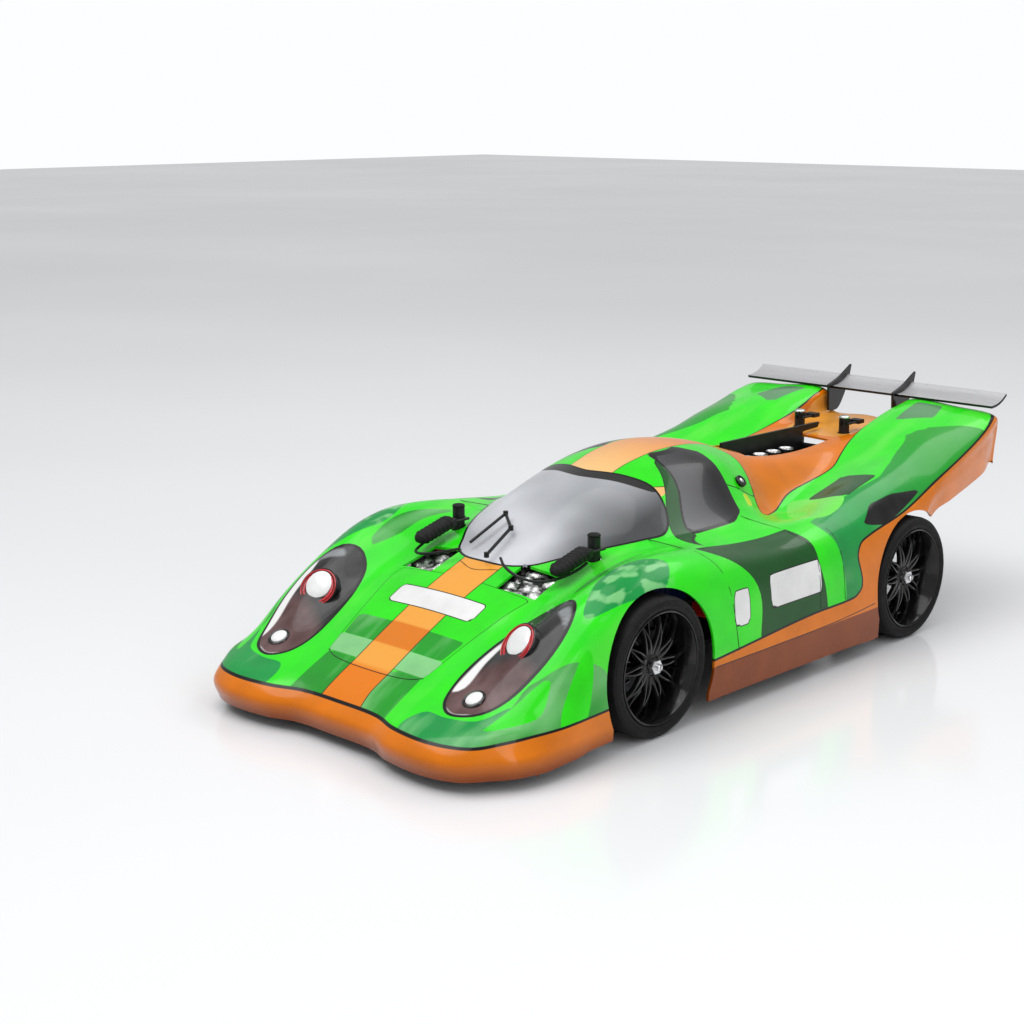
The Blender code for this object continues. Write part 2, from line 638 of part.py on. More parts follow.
def lower_arm(axle, y, side):
    """A tapered arm from its chassis hinge tube to a fork round the hub's lower lug."""
    xi, zi = mirrored(ARM_INNER, side)
    xo, zo = mirrored(ARM_OUTER, side)
    hinge = rod((xi, y - 13.9, zi), (xi, y + 13.9, zi), 3.2, 14)
    web = prism([(xi + 1.5 * side, y - 12), (xo - 5 * side, y - 8), (xo - 5 * side, y + 8),
                 (xi + 1.5 * side, y + 12)], 2, zi - 2.5, zi + 1.5)
    opening = prism([(xi + 7 * side, y - 7), (xo - 15 * side, y - 4.5), (xo - 15 * side, y + 1.5),
                     (xi + 7 * side, y + 5)], 2, zi - 6, zi + 6)
    fork = []
    for s in (1, -1):
        prong = box(xo - 6.3 * side, xo + 3 * side, y + s * 5.2, y + s * 8, zi - 1.5, zo + 2.5)
        fork.append(prong)
    pin = along_y((xo, zo), y - 7.5, y + 7.5, PIN_RADIUS)
    xs, zs = mirrored(SHOCK_FOOT, side)
    foot = [box(xs - 3, xs + 3, y + 3.2, y + 5.2, zi - 1, zs + 1.8),
            along_y((xs, zs), y + 4, y + 11, BALL_PIN_RADIUS)]
    body = cut(fuse(web, hinge), opening, along_y((xi, zi), y - 20, y + 20, BORE_RADIUS))
    mesh = fuse(body, *fork, pin, *foot)
    return node(corner_name("lower_arm", axle, side), mesh, black_plastic(), (xi, y, zi))


def upper_link(axle, y, side):
    xi, zi = mirrored(LINK_INNER, side)
    xo, zo = mirrored(LINK_OUTER, side)
    y += LINK_DY
    run = Vector((xo - xi, 0, zo - zi)).normalized()
    inner, outer = Vector((xi, y, zi)), Vector((xo, y, zo))
    bar = rod(inner + run * 2.6, outer - run * 2.6, 1.5, 8)
    rings = [eye_ring(p, 1, 3.6) for p in (inner, outer)]
    return node(corner_name("upper_link", axle, side), fuse(*rings, bar), steel(), inner)


def hub_lugs(y, side):
    """The lower hinge lug and the upper link pin that every hub carrier has."""
    xo, zo = mirrored(ARM_OUTER, side)
    xu, zu = mirrored(LINK_OUTER, side)
    lug = cut(along_y((xo, zo), y - 4.8, y + 4.8, 3.4, 14), along_y((xo, zo), y - 9, y + 9, BORE_RADIUS))
    ear = box(xu - 3 * side, xu + 3 * side, y - 2.5, y - 0.6, zu - 2.4, zu + 3)
    pin = along_y((xu, zu), y - 9, y - 1, BALL_PIN_RADIUS)
    return lug, ear, pin


def caster_block(y, side):
    """The C-shaped front carrier that holds the steering knuckle top and bottom."""
    xo = ARM_OUTER[0] * side
    lug, ear, pin = hub_lugs(y, side)
    spine = box(xo - 4.5 * side, xo - 1.5 * side, y - 3.8, y + 4.6, 19.4, 44)
    low = box(xo - 4.5 * side, xo + 9.0 * side, y - 3.6, y + 3.6, 19.4, 22.4)
    high = box(xo - 4.5 * side, xo + 9.0 * side, y - 3.6, y + 3.6, 41.4, 44)
    mesh = fuse(spine, low, high, lug, ear, pin)
    return node(corner_name("caster_block", "front", side), mesh, black_plastic(), (xo, y, ARM_OUTER[1]))


def steering_knuckle(y, side):
    x = KINGPIN_X * side
    pillar = rod((x, y, 22.8), (x, y, 41.0), 3.4, 16)
    boss = rod((x - 2.5 * side, y, AXLE_Z), (x + 3.6 * side, y, AXLE_Z), 5.6, 16)
    arm = box(x - 3, x + 3, y, y + STEER_ARM + 3, 33.5, 36)
    pin = rod((x, y + STEER_ARM, 35), (x, y + STEER_ARM, 49.5), BALL_PIN_RADIUS, 10)
    bore = rod((x - 6 * side, y, AXLE_Z), (x + 6 * side, y, AXLE_Z), STUB_RADIUS + 0.4, 16)
    mesh = fuse(cut(fuse(pillar, boss, arm), bore), pin)
    return node(corner_name("steering_knuckle", "front", side), mesh, grey_metal(), (x, y, AXLE_Z))


def rear_hub(y, side):
    xo = ARM_OUTER[0] * side
    lug, ear, pin = hub_lugs(y, side)
    body = box(xo + 0.8 * side, xo + 8.5 * side, y - 7.5, y + 7.5, 23, 40)
    spine = box(xo - 1.5 * side, xo + 4 * side, y - 4.6, y + 4.6, 18.8, 26)
    riser = box(xo + 1 * side, xo + 5 * side, y - 3.8, y + 4.6, 38, 45)
    bore = rod((xo - 6 * side, y, AXLE_Z), (xo + 12 * side, y, AXLE_Z), STUB_RADIUS + 0.4, 16)
    mesh = fuse(cut(body, bore), spine, riser, lug, ear, pin)
    return node(corner_name("rear_hub", "rear", side), mesh, black_plastic(), (xo, y, ARM_OUTER[1]))


def driveshaft(y, side):
    xi, zi = mirrored(SHAFT_INNER, side)
    xo, zo = mirrored(SHAFT_OUTER, side)
    inner, outer = Vector((xi, y, zi)), Vector((xo, y, zo))
    run = (outer - inner).normalized()
    bar = rod(inner - run * 1.5, outer - run * 2.0, 1.8, 12)
    ball = rod(inner - run * 2.0, inner + run * 3.0, 3.4, 14)
    joint = rod(outer - run * 6.0, outer - run * 1.2, 3.4, 14)
    return node(corner_name("driveshaft", "rear", side), fuse(bar, ball, joint), steel(), inner)


def shock_points(y, side):
    top = Vector((SHOCK_TOP[0] * side, y + SHOCK_DY, SHOCK_TOP[1]))
    foot = Vector((SHOCK_FOOT[0] * side, y + SHOCK_DY, SHOCK_FOOT[1]))
    return top, foot, (foot - top).normalized()


def shock_body(axle, y, side):
    top, foot, run = shock_points(y, side)
    barrel = rod(top + run * 4.5, top + run * 23, 4.3, 16)
    neck = rod(top + run * 2.4, top + run * 6, 2.6, 12)
    bore = rod(top + run * 12, top + run * 25, 1.7, 12)
    mesh = fuse(eye_ring(top, 1, 3.6), neck, cut(barrel, bore))
    return node(corner_name("shock_body", axle, side), mesh, grey_metal(), top)


def shock_shaft(axle, y, side):
    top, foot, run = shock_points(y, side)
    bar = rod(top + run * 16, foot - run * 2.6, 1.3, 10)
    cup = rod(foot - run * 6.4, foot - run * 4.6, 5.0, 16)
    return node(corner_name("shock_shaft", axle, side), fuse(eye_ring(foot, 1, 3.6), bar, cup), steel(), foot)


# Wheels

def tyre(axle, y, side):
    """A low-profile ring with rounded shoulders."""
    half = TYRE_WIDTH / 2
    inner = RIM_RADIUS + GAP
    profile = [(-half + 0.6, inner), (half - 0.6, inner), (half, inner + 2), (half - 0.8, TYRE_RADIUS - 1.4),
               (half - 2.6, TYRE_RADIUS), (-half + 2.6, TYRE_RADIUS), (-half + 0.8, TYRE_RADIUS - 1.4),
               (-half, inner + 2)]
    sides = 28
    flat = 1 / math.cos(math.pi / sides)
    profile = [(a, r * flat) for a, r in profile]
    centre = ((WHEEL_OUTER_X - half) * side, y, AXLE_Z)
    return node(corner_name("tyre", axle, side), turned(profile, centre, sides), tyre_rubber(), centre)


def rim(axle, y, side):
    """A deep barrel with ten spokes, a hub and the stub axle that turns with it."""
    half = TYRE_WIDTH / 2
    centre = ((WHEEL_OUTER_X - half) * side, y, AXLE_Z)
    r = RIM_RADIUS
    profile = [(-half + 0.8, r - 2), (half - 0.8, r - 2), (half - 0.8, r), (-half + 0.8, r)]
    barrel = turned(profile, centre, 24)
    x_face = (WHEEL_OUTER_X - 7) * side
    spokes = []
    for i in range(5):
        angle = math.pi * i / 5
        arm = box(-1.4, 1.4, -(r - 1.2), r - 1.2, -1.3, 1.3)
        turn = Matrix.Rotation(angle, 4, "X")
        place = Matrix.Translation(Vector((x_face, y, AXLE_Z)) * MM)
        arm.transform(place @ turn)
        spokes.append(arm)
    hub = rod((WHEEL_INNER_X * side + 3.5 * side, y, AXLE_Z), (x_face + 3 * side, y, AXLE_Z), 6.0, 16)
    stub = rod((STUB_INNER_X * side, y, AXLE_Z), (x_face + 5.5 * side, y, AXLE_Z), STUB_RADIUS, 12)
    nut = rod((x_face + 2.5 * side, y, AXLE_Z), (x_face + 5.2 * side, y, AXLE_Z), 3.6, 6)
    return node(corner_name("rim", axle, side), fuse(barrel, *spokes, hub, stub, nut), rim_black(), centre)


# Assembly

def main():
    for obj in list(bpy.data.objects):
        bpy.data.objects.remove(obj)
    chassis_plate()
    front_bulkhead()
    rear_gearbox()
    drive_motor()
    battery_pack()
    receiver_esc()
    steering_servo()
    servo_saver()
    front_bumper()
    front_body_mount()
    rear_body_mount()
    body_shell()
    engine_tray()
    rear_wing()
    filler_cap()
    wiper()
    for side in (1, -1):
        word = "left" if side > 0 else "right"
        light_bucket(side)
        wing_fin(side)
        tie_rod(side)
        clip_tether(side)
        caster_block(FRONT_AXLE_Y, side)
        steering_knuckle(FRONT_AXLE_Y, side)
        rear_hub(REAR_AXLE_Y, side)
        driveshaft(REAR_AXLE_Y, side)
        x, y = FRONT_POST[:2]
        body_clip(x * side, y, FRONT_CLIP_Z, True, f"body_clip_front_{word}")
        x, y = REAR_POST[:2]
        body_clip(x * side, y, REAR_CLIP_Z, False, f"body_clip_rear_{word}")
        for axle, axle_y in (("front", FRONT_AXLE_Y), ("rear", REAR_AXLE_Y)):
            lower_arm(axle, axle_y, side)
            upper_link(axle, axle_y, side)
            shock_body(axle, axle_y, side)
            shock_shaft(axle, axle_y, side)
            tyre(axle, axle_y, side)
            rim(axle, axle_y, side)


main()
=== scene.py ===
import json
import math
import random

import bmesh
import bpy
import numpy as np
from mathutils import Matrix, Vector
from mathutils.bvhtree import BVHTree
from mathutils.kdtree import KDTree


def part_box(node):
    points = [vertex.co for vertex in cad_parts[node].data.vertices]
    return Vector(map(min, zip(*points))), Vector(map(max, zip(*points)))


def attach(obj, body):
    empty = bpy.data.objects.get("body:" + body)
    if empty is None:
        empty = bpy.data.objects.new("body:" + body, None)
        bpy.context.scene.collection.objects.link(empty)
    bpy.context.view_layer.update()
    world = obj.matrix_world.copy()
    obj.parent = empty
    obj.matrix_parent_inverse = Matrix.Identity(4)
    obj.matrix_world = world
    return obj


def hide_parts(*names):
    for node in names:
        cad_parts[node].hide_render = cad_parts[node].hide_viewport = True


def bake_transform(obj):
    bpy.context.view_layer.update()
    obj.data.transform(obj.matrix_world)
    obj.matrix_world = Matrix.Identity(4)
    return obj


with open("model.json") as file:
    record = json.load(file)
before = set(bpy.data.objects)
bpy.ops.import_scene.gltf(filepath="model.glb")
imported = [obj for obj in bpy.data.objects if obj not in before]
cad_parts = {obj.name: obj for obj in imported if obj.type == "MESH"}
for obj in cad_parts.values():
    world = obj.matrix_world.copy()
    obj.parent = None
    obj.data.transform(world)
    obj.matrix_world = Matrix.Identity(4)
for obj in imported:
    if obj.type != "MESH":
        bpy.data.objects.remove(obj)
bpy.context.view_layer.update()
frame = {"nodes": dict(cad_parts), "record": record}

# Sizes are in millimetres in the car's own frame: nose towards -Y, left side +X, ground z = 0.
MM = 0.001
NODES = frame["nodes"]

WHEELBASE = 207.6
TYRE_RADIUS = 32.0
WHEEL_INNER_X = 70.5
SHELL_THICKNESS = 1.2
AXLES = {"front": -WHEELBASE / 2, "rear": WHEELBASE / 2}
SIDES = {"left": 1, "right": -1}

# Half sections of the body shell from the centre line out and down: centre, hood or roof edge,
# valley, fender crest, shoulder, waist, sill and bottom edge.
NOSE_ROWS = [
    [(0, -210.7, 5.5), (25, -211.3, 5.5), (40, -216, 5.5), (64, -217.3, 5.5),
     (79, -212.3, 5.5), (87, -202.5, 5.5), (93.3, -193.6, 5.6), (96.5, -184, 5.8)],
    [(0, -212.2, 13.5), (25, -213, 13.5), (40, -218.2, 13.5), (65, -219.5, 13.5),
     (80.5, -214, 13.5), (88.6, -203.7, 13.5), (95, -194, 12.5), (97.5, -180, 5.9)],
    [(0, -207, 19.3), (25, -207.7, 19.6), (41, -212, 20.4), (63, -213.3, 21),
     (78, -208.5, 21.6), (88.5, -197, 22), (96.7, -185, 14), (97.7, -174, 6.1)],
    [(0, -200, 24.8), (26, -200.5, 24.8), (46, -201.5, 25), (66, -201, 25.5),
     (83.5, -194, 25.8), (94.5, -181, 23.5), (98, -174, 14.5), (98, -168, 6.6)],
    [(0, -186, 32.5), (30, -186, 32.3), (48, -186, 31.5), (70, -186, 32.5),
     (87, -182, 30.5), (97, -171, 24), (98.4, -168, 15), (98.2, -164, 6.8)],
    [(0, -170, 41.5), (31, -170, 41), (48, -170, 40), (73, -170, 45),
     (90, -168, 39), (97.6, -162, 24.5), (98.4, -161, 15.5), (98, -159, 7)],
]
STATIONS = [
    (-155, (0, 49.5), (33, 48.5), (49, 47.5), (76, 55.5), (91, 47), (97.5, 25), (98, 16), (97.5, 7.5)),
    (-140, (0, 57), (35, 55.5), (50, 54), (78, 63.5), (92, 54.5), (97.3, 26), (97.6, 17), (97.2, 8)),
    (-122, (0, 64.5), (34, 61.5), (50, 60), (79.5, 71.8), (92.5, 62), (97, 27), (97.4, 17.5), (97, 8.3)),
    (-104, (0, 72), (31, 67.5), (49, 65.5), (80, 76), (92.5, 66.5), (97, 27), (97.3, 17.5), (97, 8.5)),
    (-88, (0, 79.5), (31, 73.5), (50, 70), (80, 76.4), (92.5, 68), (97, 27), (97.3, 17.5), (97, 8.6)),
    (-70, (0, 88), (32, 80.5), (54, 72.5), (80, 75), (92.3, 67.5), (97, 27), (97.3, 17.5), (97, 8.7)),
    (-50, (0, 96.8), (32.5, 89.5), (57.5, 75), (80, 72.5), (92, 65.5), (97, 27.5), (97.3, 17.5), (97, 8.8)),
    (-28, (0, 103.5), (33.5, 96), (58.5, 76), (79, 70), (91.5, 63.5), (97, 28), (97.3, 17.5), (97, 8.7)),
    (-5, (0, 106.5), (34, 99), (58, 76.5), (78, 69), (91, 62.5), (97, 28.5), (97.3, 17.5), (97, 8.6)),
    (18, (0, 105.3), (32.5, 98), (55, 74.5), (78, 70), (91, 63), (97, 29), (97.3, 17.5), (97, 8.4)),
    (36, (0, 101.8), (28, 94.5), (51, 71), (78, 71.5), (91, 64.5), (97, 30), (97.3, 17.5), (97, 8.2)),
    (50, (0, 97.5), (25, 92.5), (48, 69.5), (78, 73.5), (91, 66), (97, 31), (97.3, 18), (97, 8)),
    (75, (0, 90), (24, 89.5), (45, 74), (78, 79.5), (91, 70), (96.5, 36), (96.8, 20), (96.5, 8)),
    (100, (0, 88.5), (23, 88), (41, 78.5), (77, 84), (91, 74), (95.5, 50), (95.8, 35), (95.5, 20)),
    (125, (0, 89.5), (22, 88.5), (36, 84.5), (75, 89), (90.5, 79), (93, 72), (92.5, 66), (92, 60)),
    (150, (0, 91.5), (20, 91), (29.5, 93), (72, 96), (89.5, 86.5), (90.5, 78), (90, 71), (89.5, 65.5)),
    (175, (0, 93), (22.5, 93), (27.5, 100.5), (66, 101.5), (88, 94), (88, 85), (87, 76), (86, 69)),
    (195, (0, 93.5), (23.5, 94), (27.5, 104.3), (62, 104.8), (86, 100.5), (85.5, 91), (84.5, 82), (83.5, 73)),
    (205, (0, 93.5), (23.5, 94), (27.5, 105), (60, 105.4), (84, 102), (83, 95), (82, 86), (81, 77)),
    (208, (0, 86), (23.5, 86), (31, 96), (60, 97), (82, 94), (82, 89), (81.5, 83), (81, 77)),
    (209, (0, 76), (23.5, 76), (31, 76), (60, 76), (80, 76), (80.5, 76), (80.8, 76), (81, 76)),
]

# Openings: arches are (y, z, radius), the rest (x, y)
ARCHES = ((-104.5, 30.0, 37.5), (104.5, 31.2, 36.2))
ARCH_FOOT_HALF = 33.4
DECK_OPENING = [(-20, 58), (20, 58), (19, 100), (17, 140), (-17, 140), (-19, 100)]
HOOD_OPENING = [(21, -131), (43, -129), (41, -109), (20, -111)]
POST_HOLES = ((43.9, -90.0), (15.0, 158.0))
POST_HOLE_RADIUS = 3.6

# Paint outlines. TOP ones are (distance from the centre line, y); SIDE ones are (y, z).
TOP_OUTLINES = {
    "screen": [(-14, -116.5), (0, -118), (13, -116.5), (23, -110.5), (30, -101), (37, -91), (44, -78),
         (51, -62), (54, -53), (51, -45), (43, -38.5), (33, -36.5), (20, -40), (0, -46), (-20, -42)],
    "screen_band": [(-30, -44), (0, -51.5), (21, -45.5), (33, -41), (37, -38), (33, -30), (-30, -30)],
    "headlight": [(60, -199.5), (51, -194), (46.5, -182), (47, -166), (51, -150), (58, -138),
         (67, -133.5), (76, -138), (82, -149), (83.5, -164), (80, -181), (72, -195)],
    "mauve": [(84, -171), (70, -168), (58, -171), (47, -178), (44, -200), (90, -205)],
    # The glint is a painted highlight on the lamp cover
    "glint": [(72, -139), (78, -143), (81, -151), (76, -148), (69, -142)],
    "chin": [(50, -201), (52, -195.5), (61, -198), (71, -195.5), (74, -201), (61, -206)],
    "saddle": [(-15, 35), (8, 36), (20, 42.5), (36, 39.5), (54, 28), (48, 46), (42, 64), (39.5, 90),
         (38, 113), (33, 128), (29, 142), (26.3, 160), (26.5, 180), (28.5, 195), (27.5, 212), (-20, 212)],
    "deck": [(-15, 146), (16, 147), (21, 160), (23, 212), (-15, 212)],
    "scoop_lip": [(46, 62), (51, 70), (75, 67.5), (79, 44), (70, 34), (58, 44)],
    "scoop": [(52, 69), (51, 103), (74, 99), (76, 69)],
    "sticker": [(45, 21.5), (44.2, 27.5), (49.5, 25), (50.6, 19.5)],
    "fin_patch": [(42, 166), (38, 197), (54, 198), (60, 178)],
    "teal": [(84, -142), (91, -120), (92, -96), (84, -88), (77, -97), (72, -112), (76, -128)],
    "fender_wedge": [(66, -130), (71, -112), (70, -92), (62, -74), (63, -96), (62, -114)],
    "nose_corner": [(43, -212), (47, -201), (60, -201), (74, -197), (83, -184), (90, -192), (104, -196),
         (90, -225), (60, -228)],
    "roof_side": [(15, -46), (22, -44), (33, -38), (40, -20), (40, 40), (12, 40), (13.5, 20), (15, 0),
         (14.5, -20)],
}
SIDE_OUTLINES = {
    "window": [(-17, 103), (3, 104), (11, 101.5), (7, 78.5), (-4, 76.5), (-37, 76), (-25, 90)],
    "pillar": [(-50, 73), (-38, 86), (-30, 94), (-22, 101), (-14, 104), (-17, 99), (-26, 89), (-37, 74.5)],
    "door": [(-60, 76), (-46, 69), (-34, 58), (-30, 48), (-29, 20), (22, 20), (23, 40), (19, 56),
         (17, 69), (5, 72), (-20, 73)],
    "rear_fender": [(33, 71), (65, 79), (99, 86), (136, 94), (152, 98), (168, 100), (186, 98), (186, 80),
         (90, 60), (62, 40), (56, 25), (41, 20), (40, 40), (36, 62)],
    "vent": [(62, 67.5), (73, 74.5), (92, 77), (113, 76.5), (95, 70), (79, 65)],
    "nose_low": [(-205, 20), (-188, 30), (-172, 40), (-156, 46), (-142, 40), (-139, 18)],
}
# White crescents of painted reflection on the lamp covers: on the inner edge of the left cover and the outer
# edge of the right one
TOP_REFLECTION_CRESCENT = [(49.5, -187), (48.5, -172), (51.5, -157), (58, -146), (55, -156), (53.5, -170), (54, -184)]
TOP_OUTER_REFLECTION_CRESCENT = [(80, -149), (82.4, -163), (79.4, -179), (74.5, -190), (73.5, -182), (76.5, -168),
     (77.5, -156)]
TOP_NOSE_WEDGE = [(84, -196), (92, -178), (88, -168), (80, -200)]
SIDE_NOSE_WEDGE = [(-172, 20), (-156, 44), (-148, 50), (-150, 36), (-158, 20)]
ORANGE_LINE = [(-230, 19.8), (-214, 19.6), (-207, 19.6), (-196, 20.8), (-170, 22.4), (-141, 23),
     (-66, 27.5), (10, 32.5), (40, 33), (49, 34), (54.5, 38), (53.5, 46), (51.5, 53), (55, 59), (64, 62),
     (96, 68.5), (128, 78.5), (159, 88), (180, 95), (199, 102.5), (225, 112)]
REAR_FENDER_INNER = [(-300, 78), (30, 78), (65, 75), (99, 76), (136, 64), (152, 59), (168, 66), (185, 80),
     (300, 82)]
# Regions with straight edges; the others are smoothed through their points
SHARP_REGIONS = {"scoop", "sticker", "fin_patch", "window", "pillar", "vent"}
# Side regions end where the shell is nearer the centre line than this, or FLANK_X where not named
FLANK_X = 76.0
SIDE_INNER_X = {"window": 15.0, "pillar": 12.0, "vent": 84.0, "nose_low": 82.0}
GROWN_BY = {"window": 0.8, "vent": 0.5}

HOOD_PLATE = (0.0, -148.0, 27.0, 5.6)
DOOR_PLATE = (-45.5, 47.5, 6.0, 8.5)
SIDE_PLATE = (-1.5, 50.0, 21.0, 8.0)

# Linear colours
BRIGHT_GREEN = (0.022, 0.78, 0.003)
MID_GREEN = (0.012, 0.33, 0.018)
DARK_GREEN = (0.001, 0.078, 0.006)
TEAL_GREEN = (0.005, 0.32, 0.058)
PALE_GREEN = (0.24, 0.62, 0.24)
LIGHT_GREEN = (0.17, 0.80, 0.09)
GREY_GREEN = (0.10, 0.30, 0.12)
ORANGE = (0.76, 0.19, 0.001)
LIGHT_ORANGE = (0.84, 0.36, 0.05)
PEACH = (0.86, 0.55, 0.22)
# Painted shade of the orange: the lower face of the nose lip and the low sides
SHADED_ORANGE = (0.25, 0.048, 0.001)
DEEP_ORANGE = (0.70, 0.19, 0.008)
INK = (0.002, 0.002, 0.002)
SCREEN_GREY = (0.33, 0.34, 0.36)
WHITE = (0.85, 0.85, 0.84)
YELLOW = (0.62, 0.80, 0.01)
MAUVE = (0.085, 0.038, 0.038)


# Node materials

def node_tree(name):
    """A new node material, its tree and its shader."""
    made = bpy.data.materials.new(name)
    made.use_nodes = True
    return made, made.node_tree, made.node_tree.nodes["Principled BSDF"]


def add_node(tree, kind, inputs=None, **values):
    made = tree.nodes.new(kind)
    for key, value in values.items():
        setattr(made, key, value)
    for key, value in (inputs or {}).items():
        if isinstance(value, bpy.types.NodeSocket):
            tree.links.new(value, made.inputs[key])
        else:
            made.inputs[key].default_value = value
    return made


def noise(tree, scale, detail=4.0, stretch=(1, 1, 1)):
    """Object-space noise, with its scale in features per metre."""
    place = add_node(tree, "ShaderNodeTexCoord").outputs["Object"]
    mapped = add_node(tree, "ShaderNodeMapping", {"Vector": place, "Scale": stretch})
    return add_node(tree, "ShaderNodeTexNoise",
                    {"Vector": mapped.outputs[0], "Scale": scale, "Detail": detail}).outputs["Fac"]


def map_range(tree, value, low, high, to_low=0.0, to_high=1.0):
    return add_node(tree, "ShaderNodeMapRange",
                    {"Value": value, "From Min": low, "From Max": high, "To Min": to_low, "To Max": to_high}
                    ).outputs["Result"]


def mix(tree, factor, a, b):
    """A colour mix. a and b are colours or sockets."""
    made = add_node(tree, "ShaderNodeMix", data_type="RGBA")
    for index, value in ((0, factor), (6, a), (7, b)):
        if isinstance(value, bpy.types.NodeSocket):
            tree.links.new(value, made.inputs[index])
        elif index == 0:
            made.inputs[index].default_value = value
        else:
            made.inputs[index].default_value = (*value, 1.0)
    return made.outputs[2]


def math_node(tree, operation, a, b=0.0):
    made = add_node(tree, "ShaderNodeMath", operation=operation)
    for index, value in enumerate((a, b)):
        if isinstance(value, bpy.types.NodeSocket):
            tree.links.new(value, made.inputs[index])
        else:
            made.inputs[index].default_value = value
    return made.outputs[0]


def attribute(tree, name):
    return add_node(tree, "ShaderNodeAttribute", attribute_name=name).outputs["Fac"]


def ramp(tree, name, start, end):
    """0 to 1 as an attribute goes from start to end."""
    return map_range(tree, attribute(tree, name), start, end)


def bump(tree, shader, height, strength, distance=0.2):
    made = add_node(tree, "ShaderNodeBump",
                    {"Height": height, "Strength": strength, "Distance": distance * MM})
    tree.links.new(made.outputs[0], shader.inputs["Normal"])


def worn(name, dark, light, rough, metallic=0.0, grain=900.0, depth=0.25, stretch=(1, 1, 1), coat=0.0,
         specular=0.3):
    """A moulded, machined or rubber surface: two close tones in fine noise, with grain in the bump."""
    made, tree, shader = node_tree(name)
    tone = noise(tree, grain / 6, 5.0, stretch)
    fine = noise(tree, grain, 3.0, stretch)
    colour = mix(tree, map_range(tree, tone, 0.3, 0.7), dark, light)
    tree.links.new(colour, shader.inputs["Base Color"])
    tree.links.new(map_range(tree, fine, 0.3, 0.7, rough[0], rough[1]), shader.inputs["Roughness"])
    shader.inputs["Metallic"].default_value = metallic
    shader.inputs["Coat Weight"].default_value = coat
    shader.inputs["Specular IOR Level"].default_value = specular
    bump(tree, shader, fine, depth)
    return made


def make_finishes():
    return {
        "black_plastic": worn("moulded_black", (0.005, 0.005, 0.0055), (0.013, 0.013, 0.014), (0.35, 0.5)),
        "gloss_black": worn("gloss_black", (0.003, 0.003, 0.0035), (0.008, 0.008, 0.0085), (0.12, 0.24),
                            coat=0.35, grain=500.0, depth=0.04),
        "rubber": worn("matt_rubber", (0.004, 0.004, 0.004), (0.012, 0.012, 0.012), (0.6, 0.85),
                       grain=1600.0),
        "tyre": worn("tyre_compound", (0.0035, 0.0035, 0.0035), (0.010, 0.010, 0.0105), (0.5, 0.75),
                     grain=1500.0, depth=0.35, specular=0.22),
        "dark_metal": worn("grey_anodised", (0.44, 0.44, 0.45), (0.54, 0.54, 0.55), (0.26, 0.36), 0.35,
                           grain=600.0, depth=0.02, stretch=(0.12, 1, 1)),
        "steel": worn("bright_steel", (0.55, 0.55, 0.56), (0.78, 0.78, 0.79), (0.16, 0.3), 1.0, depth=0.05),
        "alloy": worn("cast_alloy", (0.50, 0.50, 0.50), (0.75, 0.75, 0.74), (0.2, 0.38), 1.0, depth=0.12),
        "foam": worn("bumper_foam", (0.03, 0.03, 0.032), (0.06, 0.06, 0.062), (0.8, 0.95),
                     grain=2200.0, depth=0.9),
        "blue_wrap": worn("blue_wrap", (0.01, 0.035, 0.22), (0.02, 0.06, 0.32), (0.22, 0.35), grain=350.0,
                          depth=0.1, coat=0.4),
        "plate": worn("composite_plate", (0.014, 0.014, 0.016), (0.035, 0.035, 0.038), (0.3, 0.45),
                      grain=1200.0, stretch=(1, 0.2, 1)),
        "lamp_white": worn("lamp_white", (0.80, 0.80, 0.80), (0.92, 0.92, 0.92), (0.1, 0.2),
                           coat=0.8, depth=0.02),
        "lamp_red": worn("lamp_red", (0.42, 0.008, 0.016), (0.62, 0.02, 0.03), (0.15, 0.3),
                         coat=0.6, depth=0.03),
        "red_plastic": worn("red_plastic", (0.5, 0.01, 0.008), (0.7, 0.02, 0.012), (0.3, 0.4)),
        "yellow_alloy": worn("brass_fitting", (0.5, 0.35, 0.08), (0.7, 0.52, 0.15), (0.25, 0.4), 0.8),
        "shell_inside": worn("shell_inside", (0.04, 0.05, 0.045), (0.07, 0.08, 0.07), (0.5, 0.7),
                             grain=300.0),
    }


# Loft of the body shell

def smooth_points(points, params):
    """Centripetal Catmull-Rom curve through the points."""
    p = np.vstack([2 * points[0] - points[1], points, 2 * points[-1] - points[-2]])
    found = []
    for t in params:
        i = min(int(t), len(points) - 2)
        a, b, c, d = p[i:i + 4]
        k = [0.0]
        for q, r in ((a, b), (b, c), (c, d)):
            k.append(k[-1] + max(float(np.linalg.norm(r - q)), 1e-6) ** 0.5)
        u = k[1] + (t - i) * (k[2] - k[1])
        low = ((k[1] - u) * a + (u - k[0]) * b) / (k[1] - k[0])
        mid = ((k[2] - u) * b + (u - k[1]) * c) / (k[2] - k[1])
        high = ((k[3] - u) * c + (u - k[2]) * d) / (k[3] - k[2])
        low = ((k[2] - u) * low + (u - k[0]) * mid) / (k[2] - k[0])
        high = ((k[3] - u) * mid + (u - k[1]) * high) / (k[3] - k[1])
        found.append(((k[2] - u) * low + (u - k[1]) * high) / (k[2] - k[1]))
    return np.array(found)


def shell_grid(row_steps, column_steps):
    """Points of the shell's outer surface, rows from the nose to the tail, columns right to left."""
    rows = [list(row) for row in NOSE_ROWS]
    for station in STATIONS:
        rows.append([(x, station[0], z) for x, z in station[1:]])
    cage = np.array(rows, float)
    count, columns = cage.shape[:2]
    params = np.linspace(0, count - 1, (count - 1) * row_steps + 1)
    lines = np.stack([smooth_points(cage[:, j], params) for j in range(columns)], 1)
    params = np.linspace(0, 2 * columns - 2, (2 * columns - 2) * column_steps + 1)
    grid = []
    for line in lines:
        full = np.vstack([(line[1:] * [-1, 1, 1])[::-1], line])
        grid.append(smooth_points(full, params))
    return np.array(grid)


def grid_normals(grid):
    across = np.gradient(grid, axis=1)
    along = np.gradient(grid, axis=0)
    normals = np.cross(across, along)
    return normals / np.maximum(np.linalg.norm(normals, axis=2, keepdims=True), 1e-9)


# Mesh helpers

